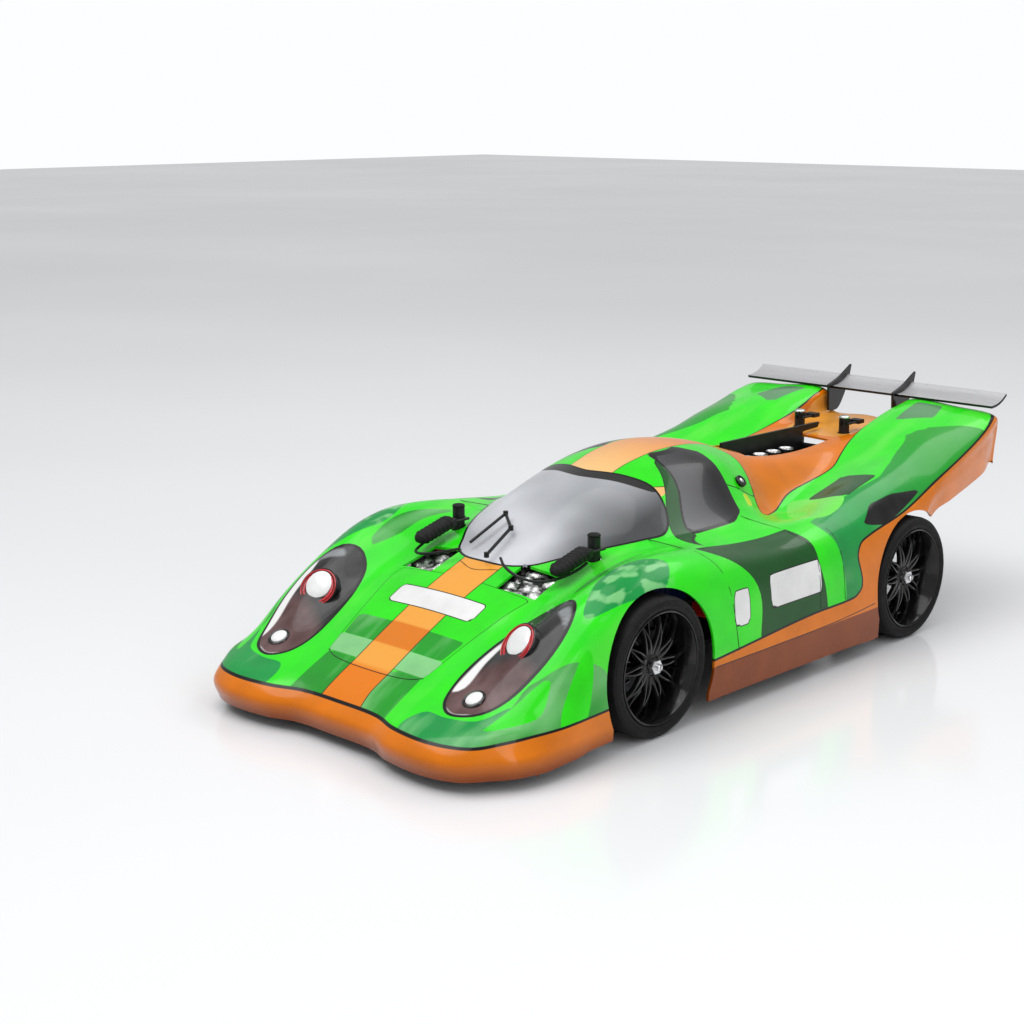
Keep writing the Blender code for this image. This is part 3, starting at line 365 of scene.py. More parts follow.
def show(name, data):
    """A new object in the scene."""
    made = bpy.data.objects.new(name, data)
    bpy.context.scene.collection.objects.link(made)
    return made


def make_mesh(name, points, faces):
    mesh = bpy.data.meshes.new(name)
    mesh.from_pydata([tuple(float(c) * MM for c in p) for p in points], [], faces)
    work = bmesh.new()
    work.from_mesh(mesh)
    bmesh.ops.recalc_face_normals(work, faces=work.faces)
    work.to_mesh(mesh)
    work.free()
    return mesh


def piece(name, mesh, finish, body, sharp=35, bevel=0.0):
    """Shows a mesh as a piece that rides on a body and takes its finish from a material slot."""
    mesh.shade_smooth()
    mesh.set_sharp_from_angle(angle=math.radians(sharp))
    mesh.materials.clear()
    mesh.materials.append(finish)
    made = show(name, mesh)
    if bevel:
        step = made.modifiers.new("edge", "BEVEL")
        step.width = bevel * MM
        step.segments = 2
        step.limit_method = "ANGLE"
        step.angle_limit = math.radians(40)
    if body:
        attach(made, body)
    return made


def joined(*meshes):
    """Several closed meshes as one."""
    work = bmesh.new()
    for mesh in meshes:
        work.from_mesh(mesh)
    made = bpy.data.meshes.new("joined")
    work.to_mesh(made)
    work.free()
    return made


def block(x0, x1, y0, y1, z0, z1):
    points = [(x, y, z) for z in (z0, z1) for y in (y0, y1) for x in (x0, x1)]
    faces = [(0, 2, 3, 1), (4, 5, 7, 6), (0, 1, 5, 4), (2, 6, 7, 3), (0, 4, 6, 2), (1, 3, 7, 5)]
    return make_mesh("block", points, faces)


def prism(outline, axis, low, high):
    """A closed outline of (a, b) pairs pushed along the axis, 0 for X, 1 for Y or 2 for Z."""
    count = len(outline)
    points = []
    for c in (low, high):
        for a, b in outline:
            points.append([(c, a, b), (a, c, b), (a, b, c)][axis])
    faces = [tuple(range(count)), tuple(range(2 * count - 1, count - 1, -1))]
    for i in range(count):
        j = (i + 1) % count
        faces.append((i, j, j + count, i + count))
    return make_mesh("prism", points, faces)


def turned(profile, centre, axis=0, sides=64, facing=1):
    """A closed profile of (along, radius) turned round an axis, with along running towards facing."""
    points = []
    count = len(profile)
    for i in range(sides):
        angle = 2 * math.pi * i / sides
        c, s = math.cos(angle), math.sin(angle)
        for along, r in profile:
            a = along * facing
            local = [(a, r * c, r * s), (r * c, a, r * s), (r * c, r * s, a)][axis]
            points.append([p + q for p, q in zip(local, centre)])
    faces = []
    for i in range(sides):
        j = (i + 1) % sides
        for k in range(count):
            m = (k + 1) % count
            faces.append((i * count + k, i * count + m, j * count + m, j * count + k))
    return make_mesh("turned", points, faces)


def sweep(path, wide, deep, up=(1, 0, 0), sides=8):
    """A bar of oval section along a path: wide across up, deep along it. Both may change along the path."""
    path = [Vector(p) for p in path]
    points = []
    for i, p in enumerate(path):
        ahead = (path[min(i + 1, len(path) - 1)] - path[max(i - 1, 0)]).normalized()
        across = ahead.cross(Vector(up)).normalized()
        top = across.cross(ahead)
        w = wide[i] if isinstance(wide, (list, tuple)) else wide
        d = deep[i] if isinstance(deep, (list, tuple)) else deep
        for k in range(sides):
            angle = 2 * math.pi * (k + 0.5) / sides
            points.append(p + across * (0.5 * w * math.cos(angle)) + top * (0.5 * d * math.sin(angle)))
    faces = [tuple(range(sides)), tuple(range(len(points) - 1, len(points) - sides - 1, -1))]
    for i in range(len(path) - 1):
        for k in range(sides):
            m = (k + 1) % sides
            faces.append((i * sides + k, i * sides + m, (i + 1) * sides + m, (i + 1) * sides + k))
    return make_mesh("sweep", points, faces)


def grid_quads(rows, columns):
    """The quads of rows x columns points."""
    corners = [i * columns + j for i in range(rows - 1) for j in range(columns - 1)]
    return [(a, a + 1, a + 1 + columns, a + columns) for a in corners]


def closed_sheet(name, points, rows, columns):
    """Two layers of rows x columns points, the upper one first, closed along their edges."""
    layer = rows * columns
    faces = []
    for a, b, c, d in grid_quads(rows, columns):
        faces.append((a, b, c, d))
        faces.append((a + layer, d + layer, c + layer, b + layer))
    rim = list(range(columns))
    rim += [i * columns + columns - 1 for i in range(1, rows)]
    rim += [(rows - 1) * columns + j for j in range(columns - 2, -1, -1)]
    rim += [i * columns for i in range(rows - 2, 0, -1)]
    for a, b in zip(rim, rim[1:] + rim[:1]):
        faces.append((a, a + layer, b + layer, b))
    return make_mesh(name, points, faces)


def cut(base, cutters):
    """The mesh with every cutter taken away, one after the other."""
    holder = show("base", base)
    helpers = []
    for mesh in cutters:
        helper = show("helper", mesh)
        helpers.append(helper)
        step = holder.modifiers.new("step", "BOOLEAN")
        step.operation = "DIFFERENCE"
        step.solver = "EXACT"
        step.object = helper
    bpy.context.view_layer.update()
    graph = bpy.context.evaluated_depsgraph_get()
    result = bpy.data.meshes.new_from_object(holder.evaluated_get(graph))
    for made in [holder] + helpers:
        bpy.data.objects.remove(made)
    return result


# Signed distances, in millimetres and negative inside, that the paint's edges follow

def rounded(outline, closed=True, steps=6):
    """A smooth curve through the outline's points."""
    pts = np.array(outline, float)
    if not closed:
        return smooth_points(pts, np.linspace(0, len(pts) - 1, (len(pts) - 1) * steps + 1))
    ring = np.vstack([pts[-2:], pts, pts[:3]])
    params = np.linspace(2, len(pts) + 2, len(pts) * steps + 1)[:-1]
    return smooth_points(ring, params)


def outline_distance(points, outline):
    """Signed distance of 2-D points to a closed outline."""
    best = np.full(len(points), 1e9)
    inside = np.zeros(len(points), bool)
    for a, b in zip(outline, np.roll(outline, -1, axis=0)):
        edge = b - a
        t = np.clip(((points - a) @ edge) / max(edge @ edge, 1e-12), 0, 1)
        best = np.minimum(best, np.linalg.norm(points - a - t[:, None] * edge, axis=1))
        cross = (a[1] > points[:, 1]) != (b[1] > points[:, 1])
        rise = np.where(abs(b[1] - a[1]) < 1e-12, 1e-12, b[1] - a[1])
        inside ^= cross & (points[:, 0] < (b[0] - a[0]) * (points[:, 1] - a[1]) / rise + a[0])
    return np.where(inside, -best, best)


def line_distance(points, line):
    """Signed distance of 2-D points to an open line, negative on its right."""
    best = np.full(len(points), 1e9)
    sign = np.ones(len(points))
    for a, b in zip(line[:-1], line[1:]):
        edge = b - a
        t = np.clip(((points - a) @ edge) / max(edge @ edge, 1e-12), 0, 1)
        off = points - a - t[:, None] * edge
        size = np.linalg.norm(off, axis=1)
        near = size < best
        best = np.where(near, size, best)
        turn = edge[0] * off[:, 1] - edge[1] * off[:, 0]
        sign = np.where(near, np.where(turn < 0, -1.0, 1.0), sign)
    return best * sign


def plate_distance(points, plate, corner=2.0):
    """Signed distance to a rounded rectangle given as centre a, centre b, half a, half b."""
    offset = np.abs(points - np.array(plate[:2])) - np.array(plate[2:]) + corner
    return np.linalg.norm(np.maximum(offset, 0), axis=1) + np.minimum(offset.max(1), 0) - corner


def paint_distances(points):
    """Every paint region's signed distance at the shell's points."""
    x, y, z = np.abs(points[:, 0]), points[:, 1], points[:, 2]
    top = np.column_stack([x, y])
    side = np.column_stack([y, z])
    outer = FLANK_X - x
    inner = np.interp(y, *np.array(REAR_FENDER_INNER, float).T) - x
    low = line_distance(side, rounded(ORANGE_LINE, closed=False))
    stripe = x - np.interp(y, [-212, -200, -160, -118], [13.5, 12.0, 12.0, 12.5])
    nose_band = np.maximum(x - np.interp(y, [-212, -186], [31, 30]), 12.0 - x)
    hood = x - np.interp(y, [-186, -131], [31.0, 42.0])

    def region(flat, outline, name=""):
        shape = np.array(outline, float) if name in SHARP_REGIONS else rounded(outline)
        return outline_distance(flat, shape)

    def between(distance, front, back):
        return np.maximum(np.maximum(distance, y - back), front - y)

    found = {name: region(top, outline, name) for name, outline in TOP_OUTLINES.items()}
    for name, outline in SIDE_OUTLINES.items():
        edge = inner if name == "rear_fender" else SIDE_INNER_X.get(name, FLANK_X) - x
        found[name] = np.maximum(region(side, outline, name), edge) - GROWN_BY.get(name, 0.0)
    side_wedge = np.maximum(region(side, SIDE_NOSE_WEDGE), 90.0 - x)
    plates = [plate_distance(side, plate) for plate in (DOOR_PLATE, SIDE_PLATE)]
    found.update({
        "orange_low": np.maximum(low, np.where(y > 55, 74.0 - x, -20.0)),
        "stripe": np.maximum(stripe, y + 100.0),
        "roof_stripe": between(x - 40, -60.0, 41.0),
        "nose_band": np.maximum(nose_band, y + 186.3),
        "shelf": between(hood, -186.0, -176.0),
        "step": between(hood + 1.5, -176.0, -164.0),
        "hood_panel": between(hood, -186.0, -131.0),
        # Painted reflection: the white crescent falls on the same side of both covers, so it is not mirrored
        "reflection_crescent": np.where(points[:, 0] > 0, region(top, TOP_REFLECTION_CRESCENT), region(top, TOP_OUTER_REFLECTION_CRESCENT)),
        "nose_wedge": np.minimum(region(top, TOP_NOSE_WEDGE), side_wedge),
        "hood_plate": plate_distance(np.column_stack([points[:, 0], y]), HOOD_PLATE),
        "door_plate": np.maximum(np.minimum(*plates), outer),
        "sill": np.maximum(z - 24.0, -y - 75.0),
    })
    return found


# Each layer covers the ones before it: region, colour, ink line width in mm
PAINT_LAYERS = (
    ("teal", TEAL_GREEN, 0.0),
    ("fender_wedge", MID_GREEN, 0.0),
    ("nose_corner", TEAL_GREEN, 0.0),
    ("nose_low", MID_GREEN, 0.0),
    ("nose_wedge", BRIGHT_GREEN, 0.0),
    ("door", DARK_GREEN, 0.25),
    ("rear_fender", TEAL_GREEN, 0.0),
    ("scoop_lip", LIGHT_GREEN, 0.0),
    ("scoop", DARK_GREEN, 0.0),
    ("sticker", YELLOW, 0.0),
    ("fin_patch", GREY_GREEN, 0.0),
    ("nose_band", MID_GREEN, 0.0),
    ("hood_panel", BRIGHT_GREEN, 0.3),
    ("shelf", PALE_GREEN, 0.0),
    ("step", MID_GREEN, 0.0),
    ("stripe", ORANGE, 0.5),
    ("hood_plate", WHITE, 0.5),
    ("door_plate", WHITE, 0.5),
    ("roof_stripe", LIGHT_ORANGE, 0.0),
    ("roof_side", BRIGHT_GREEN, 0.4),
    ("saddle", ORANGE, 0.7),
    ("deck", LIGHT_ORANGE, 0.0),
    ("pillar", DARK_GREEN, 0.3),
    ("window", SCREEN_GREY, 1.0),
    ("screen", SCREEN_GREY, 1.2),
    ("headlight", INK, 0.0),
    ("vent", INK, 0.0),
    ("orange_low", ORANGE, 1.1),
    # The sill band is painted shade: dark orange along the bottom of the sides behind the front arch
    ("sill", SHADED_ORANGE, 0.0),
)


def shell_paint():
    """Clear-coated decal paint: flat regions with ink lines, airbrushed streaks and a soft mottle."""
    made, tree, shader = node_tree("shell_paint")
    streaks = map_range(tree, noise(tree, 26.0, 2.5, (2.6, 0.5, 1.0)), 0.50, 0.72)
    mottle = map_range(tree, noise(tree, 60.0, 4.0), 0.3, 0.7)
    green = mix(tree, mottle, BRIGHT_GREEN, (0.02, 0.68, 0.012))
    green = mix(tree, math_node(tree, "MULTIPLY", streaks, 0.5), green, LIGHT_GREEN)
    colour = green
    for name, paint, line in PAINT_LAYERS:
        distance = attribute(tree, name)
        tone = mix(tree, mottle, paint, tuple(c * 0.82 for c in paint))
        if paint in (TEAL_GREEN, MID_GREEN):
            tone = mix(tree, math_node(tree, "MULTIPLY", streaks, 0.7), tone, PALE_GREEN)
        if name == "roof_stripe":
            tone = mix(tree, ramp(tree, "y_mm", -50.0, 25.0), PEACH, ORANGE)
        if name == "stripe":
            tone = mix(tree, ramp(tree, "y_mm", -190.0, -187.0), ORANGE, LIGHT_ORANGE)
            band = math_node(tree, "MULTIPLY", ramp(tree, "y_mm", -176.5, -175.5),
                             ramp(tree, "y_mm", -163.0, -164.0))
            tone = mix(tree, band, tone, DEEP_ORANGE)
        if paint == SCREEN_GREY:
            tone = glass_tone(tree, name)
        if name == "headlight":
            tone = headlight_tone(tree)
        if name == "vent":
            tone = mix(tree, mottle, INK, (0.02, 0.02, 0.02))
        if name == "rear_fender":
            tone = mix(tree, ramp(tree, "y_mm", 45.0, 150.0), tone, MID_GREEN)
        # Painted shade: the orange lip and low sides darken towards the bottom, from z 15 mm down to 7 mm
        if name == "orange_low":
            tone = mix(tree, ramp(tree, "shade", 0.0, 1.0), SHADED_ORANGE, tone)
        colour = mix(tree, map_range(tree, distance, 0.12, -0.12), colour, tone)
        if line:
            near = math_node(tree, "ABSOLUTE", distance)
            colour = mix(tree, map_range(tree, near, line / 2 + 0.1, line / 2 - 0.1), colour, INK)
    dabs = map_range(tree, noise(tree, 170.0, 1.5, (1.0, 0.45, 1.0)), 0.52, 0.60)
    dabs = math_node(tree, "MULTIPLY", dabs, ramp(tree, "teal", 3.0, -2.0))
    colour = mix(tree, math_node(tree, "MULTIPLY", dabs, 0.75), colour, PALE_GREEN)
    tree.links.new(colour, shader.inputs["Base Color"])
    tree.links.new(map_range(tree, mottle, 0.0, 1.0, 0.20, 0.30), shader.inputs["Roughness"])
    shader.inputs["Specular IOR Level"].default_value = 0.18
    shader.inputs["Coat Weight"].default_value = 0.3
    shader.inputs["Coat Roughness"].default_value = 0.05
    bump(tree, shader, noise(tree, 45.0, 3.0), 0.05, 0.3)
    return made


def glass_tone(tree, name):
    """Silver-grey glazing painted with its reflection: mottled grey painted reflection, darker to one side as
    painted shade, with a dark band along the screen's top.
    """
    haze_and_reflection = map_range(tree, noise(tree, 14.0, 1.5, (1.0, 1.0, 1.6)), 0.35, 0.65)
    tone = mix(tree, haze_and_reflection, (0.22, 0.23, 0.24), (0.62, 0.63, 0.67))
    # Side windows: grey painted reflection at the front fading to near black, the painted shade of the cabin,
    # at the rear
    if name == "window":
        shade_gradient = ramp(tree, "y_mm", -36.0, 2.0)
        return mix(tree, shade_gradient, (0.11, 0.11, 0.12), (0.006, 0.006, 0.007))
    # Painted shade: the screen darkens towards the car's left side
    shade_gradient = ramp(tree, "x_mm", 16.0, 44.0)
    tone = mix(tree, math_node(tree, "MULTIPLY", shade_gradient, 0.9), tone, (0.03, 0.032, 0.035))
    band = ramp(tree, "screen_band", 0.15, -0.15)
    return mix(tree, band, tone, (0.02, 0.02, 0.02))


def headlight_tone(tree):
    """A tinted lamp cover: near black above, mauve below, with a painted grey highlight and white crescents
    of painted reflection.
    """
    haze_and_reflection = map_range(tree, noise(tree, 90.0, 2.0, (1.0, 0.4, 1.0)), 0.35, 0.65)
    tone = mix(tree, haze_and_reflection, (0.006, 0.006, 0.006), (0.035, 0.035, 0.036))
    # Painted highlight: a light grey glint on the dark cover
    tone = mix(tree, ramp(tree, "glint", 0.4, -1.2), tone, (0.24, 0.25, 0.26))
    purple = mix(tree, haze_and_reflection, MAUVE, (0.16, 0.09, 0.09))
    tone = mix(tree, ramp(tree, "mauve", 2.0, -4.0), tone, purple)
    # White marks: the crescents are painted reflections; the chin is white
    for name in ("reflection_crescent", "chin"):
        tone = mix(tree, ramp(tree, name, 0.5, -0.7), tone, WHITE)
    edge = ramp(tree, "headlight", -1.7, -1.2)
    return mix(tree, edge, tone, INK)


def skin(grid, outer, inner):
    """A closed sheet between two distances below the grid's surface."""
    normals = grid_normals(grid)
    rows, columns = grid.shape[:2]
    points = np.vstack([(grid - normals * outer).reshape(-1, 3), (grid - normals * inner).reshape(-1, 3)])
    return closed_sheet("skin", points, rows, columns)


def arch_outline(y, z, radius):
    """A wheel arch seen from the side: round above, with straight legs down past the sill."""
    turn = math.acos(ARCH_FOOT_HALF / radius)
    angles = np.linspace(-turn, math.pi + turn, 61)
    curve = [(y + radius * math.cos(a), z + radius * math.sin(a)) for a in angles]
    return [(y + ARCH_FOOT_HALF, -5)] + curve + [(y - ARCH_FOOT_HALF, -5)]


def body_shell(finishes):
    """The vacuum-formed shell with its wheel arches and openings, painted by region."""
    grid = shell_grid(7, 10)
    cutters = []
    for y, z, radius in ARCHES:
        for side in (1, -1):
            inner, outer = sorted((side * 71, side * 111))
            cutters.append(prism(arch_outline(y, z, radius), 0, inner, outer))
    cutters.append(prism(DECK_OPENING, 2, 78, 110))
    for side in (1, -1):
        cutters.append(prism([(x * side, y) for x, y in HOOD_OPENING], 2, 48, 80))
        for x, y in POST_HOLES:
            cutters.append(turned([(0, 0.01), (0, POST_HOLE_RADIUS), (50, POST_HOLE_RADIUS), (50, 0.01)],
                                  (x * side, y, 60), 2, 24))
    mesh = cut(skin(grid, 0.0, SHELL_THICKNESS), cutters)
    points = np.array([v.co for v in mesh.vertices]) / MM
    for name, values in paint_distances(points).items():
        layer = mesh.attributes.new(name, "FLOAT", "POINT")
        layer.data.foreach_set("value", np.clip(values, -60, 60).astype(np.float32))
    # shade weights the painted shade of the orange: 0 at z 7 mm, 1 from z 15 mm up
    for name, values in (("x_mm", points[:, 0]), ("y_mm", points[:, 1]),
                         ("shade", np.interp(points[:, 2], [7.0, 15.0], [0.0, 1.0]))):
        layer = mesh.attributes.new(name, "FLOAT", "POINT")
        layer.data.foreach_set("value", values.astype(np.float32))
    made = piece("painted_shell", mesh, shell_paint(), "shell", sharp=40)
    mesh.materials.append(finishes["shell_inside"])
    tree = KDTree(grid.shape[0] * grid.shape[1])
    for index, point in enumerate(grid.reshape(-1, 3)):
        tree.insert(point, index)
    tree.balance()
    normals = grid_normals(grid).reshape(-1, 3)
    for face in mesh.polygons:
        nearest = tree.find(Vector(face.center) / MM)[1]
        if face.normal.dot(Vector(normals[nearest])) < -0.2:
            face.material_index = 1
    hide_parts("body_shell")
    return made


# Where the shell's surface is

def surface_tree():
    grid = shell_grid(4, 4)
    return BVHTree.FromPolygons([Vector(p) for p in grid.reshape(-1, 3)], grid_quads(*grid.shape[:2]))


def from_above(tree, x, y):
    """The shell's surface point and outward normal below (x, y)."""
    point, normal = tree.ray_cast(Vector((x, y, 200)), Vector((0, 0, -1)))[:2]
    return point, (normal if normal.z > 0 else -normal)


def from_side(tree, side, y, z):
    point, normal = tree.ray_cast(Vector((side * 200, y, z)), Vector((-side, 0, 0)))[:2]
    return point, (normal if normal.x * side > 0 else -normal)


def stand_on(mesh, point, normal):
    """Moves a mesh built round the origin onto a surface point with its Z along the normal."""
    tilt = Vector(normal).to_track_quat("Z", "Y").to_matrix().to_4x4()
    mesh.transform(Matrix.Translation(Vector(point) * MM) @ tilt)
    return mesh


# Wheels

SPOKE_PAIRS = 10
TYRE_PROFILE = [(3.4, 32.0), (13, 32.0), (22.6, 32.0), (24.3, 31.6), (25.4, 30.6), (25.9, 29.3),
                (26.0, 28.7), (25.8, 28.5), (25.9, 28.2), (25.7, 27.2), (25.0, 26.2), (24.0, 26.1),
                (2.0, 26.1), (1.0, 26.2), (0.3, 27.2), (0.0, 28.8), (0.6, 30.6), (1.7, 31.6)]
BARREL_PROFILE = [(1.6, 26.0), (24.6, 26.0), (25.3, 25.9), (25.6, 25.5), (25.4, 25.1), (24.6, 24.9),
                  (24.0, 24.4), (16.5, 23.6), (15.2, 22.9), (13.6, 23.4), (3.0, 24.2), (2.4, 25.0),
                  (1.6, 25.2)]
HUB_PROFILE = [(13.0, 2.0), (13.0, 6.4), (18.4, 6.2), (19.6, 5.4), (20.0, 4.6), (19.3, 4.2), (19.3, 2.0)]
NUT_PROFILE = [(19.0, 1.6), (19.0, 3.9), (22.2, 3.9), (23.0, 3.3), (23.0, 1.6)]
STUB_PROFILE = [(18.0, 0.05), (18.0, 1.7), (24.3, 1.7), (24.7, 1.3), (24.7, 0.05)]


def wheel(axle, side_name, finishes):
    """A slick tyre on a deep-lipped ten-pair mesh rim with a slotted hex nut."""
    side = SIDES[side_name]
    corner = f"{axle}_{side_name}"
    centre = (side * WHEEL_INNER_X, AXLES[axle], TYRE_RADIUS)

    def at(along, radius, angle):
        x, y, z = centre
        return (x + side * along, y + radius * math.cos(angle), z + radius * math.sin(angle))

    tyre = piece(f"slick_tyre_{corner}", turned(TYRE_PROFILE, centre, 0, 96, side), finishes["tyre"],
                 f"wheel_{corner}", sharp=25)
    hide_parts(f"tyre_{corner}")
    bars = []
    for k in range(SPOKE_PAIRS):
        middle = 2 * math.pi * (k + 0.5) / SPOKE_PAIRS
        for lean in (1, -1):
            path = []
            for step in range(9):
                s = step / 8
                bow = math.sin(math.pi * min(s * 1.1, 1.0) / 2) ** 1.5
                angle = middle + lean * math.radians(6 + 12.0 * bow)
                path.append(at(18.2 + 1.7 * math.sin(math.pi * s) - 2.2 * s ** 2, 5.2 + 18.3 * s, angle))
            widths = [2.6 - 1.1 * math.sin(math.pi * i / 8) for i in range(9)]
            bars.append(sweep(path, widths, 2.8, (1, 0, 0)))
        path = []
        for step in range(5):
            s = step / 4
            path.append(at(17.4 - 1.6 * s, 13.5 + 10.0 * s, middle))
        bars.append(sweep(path, 1.1, 1.8, (1, 0, 0)))
    barrel = turned(BARREL_PROFILE, centre, 0, 96, side)
    rim = joined(barrel, turned(HUB_PROFILE, centre, 0, 40, side), *bars)
    rim = piece(f"mesh_rim_{corner}", rim, finishes["gloss_black"], f"wheel_{corner}")
    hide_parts(f"rim_{corner}")
    x, y, z = centre
    slot_cut = block(x + side * 23.6, x + side * 26, y - 0.4, y + 0.4, z - 4, z + 4)
    stub = cut(turned(STUB_PROFILE, centre, 0, 20, side), [slot_cut])
    nut = joined(turned(NUT_PROFILE, centre, 0, 6, side), stub)
    piece(f"wheel_nut_{corner}", nut, finishes["steel"], f"wheel_{corner}", bevel=0.2)


# Shell details

LAMPS = ((65.2, -162.0, 7.0, True), (63.8, -188.3, 4.0, False))
LAMP_LEAN = 0.55
LAMP_RISE = 1.3
LAMP_SINK = -3.2


def headlamps(tree, finishes):
    """The big lamp with its double red ring and the small one in a black bezel, under each cover."""
    for side_name, side in SIDES.items():
        for x, y, radius, big in LAMPS:
            size = "main" if big else "small"
            point, normal = from_above(tree, x * side, y)
            if big:
                point = point + normal * LAMP_RISE
                normal = (normal + Vector((0, -LAMP_LEAN, 0))).normalized()
            base = LAMP_SINK if big else 0.0
            dome = [(base, 0.01), (base, radius), (0.5, radius - 0.15), (1.0, radius * 0.8),
                    (1.3, radius * 0.5), (1.45, 0.01)]
            lens = stand_on(turned(dome, (0, 1.0 if big else 0.3, 0.1), 2, 48), point, normal)
            piece(f"{size}_lamp_lens_{side_name}", lens, finishes["lamp_white"], "shell")
            rings = []
            widths = ((radius + 0.6, 1.5), (radius + 2.2, 0.9)) if big else ((radius + 0.7, 1.4),)
            for ring_radius, width in widths:
                profile = [(0.0, ring_radius - width / 2), (0.0, ring_radius + width / 2),
                           (0.45, ring_radius + width / 3), (0.6, ring_radius),
                           (0.45, ring_radius - width / 3)]
                rings.append(turned(profile, (0, -0.6 if big else 0, 0.1), 2, 56))
            finish = finishes["lamp_red" if big else "gloss_black"]
            rings = stand_on(joined(*rings), point, normal)
            piece(f"{size}_lamp_ring_{side_name}", rings, finish, "shell")
            if big:
                cup = [(base, radius + 0.2), (base, radius + 3.1), (0.1, radius + 3.1), (0.3, radius + 2.8),
                       (0.1, radius + 0.2)]
                cup = stand_on(turned(cup, (0, -0.4, 0), 2, 56), point, normal)
                piece(f"main_lamp_bezel_{side_name}", cup, finishes["gloss_black"], "shell")


TOP_LINES = [
    [(-12.4, -120.5), (0, -124.5), (12.4, -120.5)],
    [(31, -186), (24, -188.6), (0, -190), (-24, -188.6), (-31, -186)],
]
SIDE_LINES = [
    [(-61, 75), (-55, 60), (-51, 42), (-48.5, 28)],
    [(4, 76), (14, 70), (17.5, 60), (18, 34)],
    [(-66, 24), (-20, 24), (30, 24.5), (66, 26.5)],
    [(36, 69), (38, 55), (39, 34)],
]


def panel_lines(tree, finishes):
    """Fine ink lines along the shell's panel edges, laid on the surface."""
    half, lift = 0.17, 0.13
    parts = []

    def ribbon(hits):
        points = []
        for i, (point, normal) in enumerate(hits):
            ahead = hits[min(i + 1, len(hits) - 1)][0] - hits[max(i - 1, 0)][0]
            across = ahead.cross(normal).normalized() * half
            for offset, rise in ((-1, lift), (1, lift), (1, -lift), (-1, -lift)):
                points.append(point + across * offset + normal * rise)
        faces = [(0, 1, 2, 3), tuple(range(len(points) - 1, len(points) - 5, -1))]
        for i in range(len(hits) - 1):
            for k in range(4):
                m = (k + 1) % 4
                faces.append((4 * i + k, 4 * i + m, 4 * i + 4 + m, 4 * i + 4 + k))
        parts.append(make_mesh("ribbon", points, faces))

    for line in TOP_LINES:
        ribbon([from_above(tree, x, y) for x, y in rounded(line, closed=False, steps=12)])
    for line in SIDE_LINES:
        for side in (1, -1):
            ribbon([from_side(tree, side, y, z) for y, z in rounded(line, closed=False, steps=14)])
    piece("panel_lines", joined(*parts), finishes["gloss_black"], "shell")


DUCT_EXTENT = (17.5, 45.5, -133.5, -106.5)
DUCT_STEPS = 26
DUCT_DEPTH = 3.4


def hood_inserts(tree):
    """Crumpled silver ducting under the two hood openings."""
    made, shading, shader = node_tree("crumpled_foil")
    coarse = noise(shading, 130.0, 3.0)
    tone = mix(shading, map_range(shading, coarse, 0.44, 0.58), (0.015, 0.015, 0.015), (0.75, 0.75, 0.74))
    shading.links.new(tone, shader.inputs["Base Color"])
    rough = map_range(shading, noise(shading, 500.0), 0.3, 0.7, 0.15, 0.4)
    shading.links.new(rough, shader.inputs["Roughness"])
    shader.inputs["Metallic"].default_value = 0.8
    bump(shading, shader, noise(shading, 420.0, 5.0), 0.8, 0.8)
    steps = DUCT_STEPS
    x0, x1, y0, y1 = DUCT_EXTENT
    for side_name, side in SIDES.items():
        draw = random.Random(7)
        points = []
        for low in (0, 1):
            for i in range(steps + 1):
                for j in range(steps + 1):
                    x = x0 + (x1 - x0) * j / steps
                    y = y0 + (y1 - y0) * i / steps
                    height = from_above(tree, x * side, y)[0].z - DUCT_DEPTH
                    fold = math.sin(x * 0.9 + y * 0.35) + math.sin(y * 1.1 - x * 0.4)
                    height += 0.45 * fold + draw.uniform(-0.35, 0.35) if not low else -1.6
                    points.append((x * side, y, height))
        mesh = closed_sheet("duct", points, steps + 1, steps + 1)
        piece(f"hood_duct_{side_name}", mesh, made, "shell", sharp=60)


PAD_RIBS = 9
PAD_FRONT = (-96.0, 74.9)
PAD_RUN = (-23.0, -6.3)


def clip_pads(finishes):
    """The ribbed rubber pads on the front body clips."""
    for side_name in SIDES:
        low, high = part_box(f"body_clip_front_{side_name}")
        middle = (low.x + high.x) / 2 / MM
        count = 57
        path, wide, deep = [], [], []
        for i in range(count):
            s = i / (count - 1)
            wave = 0.5 - 0.5 * math.cos(2 * math.pi * PAD_RIBS * s)
            taper = min(1.0, 4.0 * s + 0.55) * min(1.0, 5.0 * (1 - s) + 0.4)
            path.append((middle, PAD_FRONT[0] + PAD_RUN[0] * s, PAD_FRONT[1] + PAD_RUN[1] * s))
            wide.append((8.6 + 1.3 * wave) * taper)
            deep.append((5.8 + 1.1 * wave) * taper)
        pad = sweep(path, wide, deep, (0, 0, 1), 20)
        piece(f"clip_pad_{side_name}", pad, finishes["rubber"], f"clip_front_{side_name}")


def post_tops(finishes):
    """Rounded tops of the four body posts: black in front, silver at the rear."""
    for axle, (x, y), finish in (("front", POST_HOLES[0], "rubber"), ("rear", POST_HOLES[1], "steel")):
        for side_name, side in SIDES.items():
            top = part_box(f"{axle}_body_mount")[1].z / MM
            profile = [(-1.0, 0.01), (-1.0, 3.1), (-0.4, 3.1), (0.1, 2.6), (0.35, 1.6), (0.42, 0.01)]
            cap = turned(profile, (x * side, y, top - 0.1), 2, 32)
            piece(f"{axle}_post_top_{side_name}", cap, finishes[finish], "chassis")


TRUMPET_PROFILE = [(82.0, 2.7), (85.0, 2.8), (87.0, 3.3), (87.8, 4.2), (88.1, 4.1), (87.3, 2.9),
                   (85.0, 2.3), (82.0, 2.2)]


def engine_trumpets(finishes):
    bells = []
    for y in (76, 88, 100, 112):
        for x in (-8, 8):
            bells.append(turned(TRUMPET_PROFILE, (x, y, 0), 2, 28))
    piece("engine_trumpets", joined(*bells), finishes["alloy"], "shell")


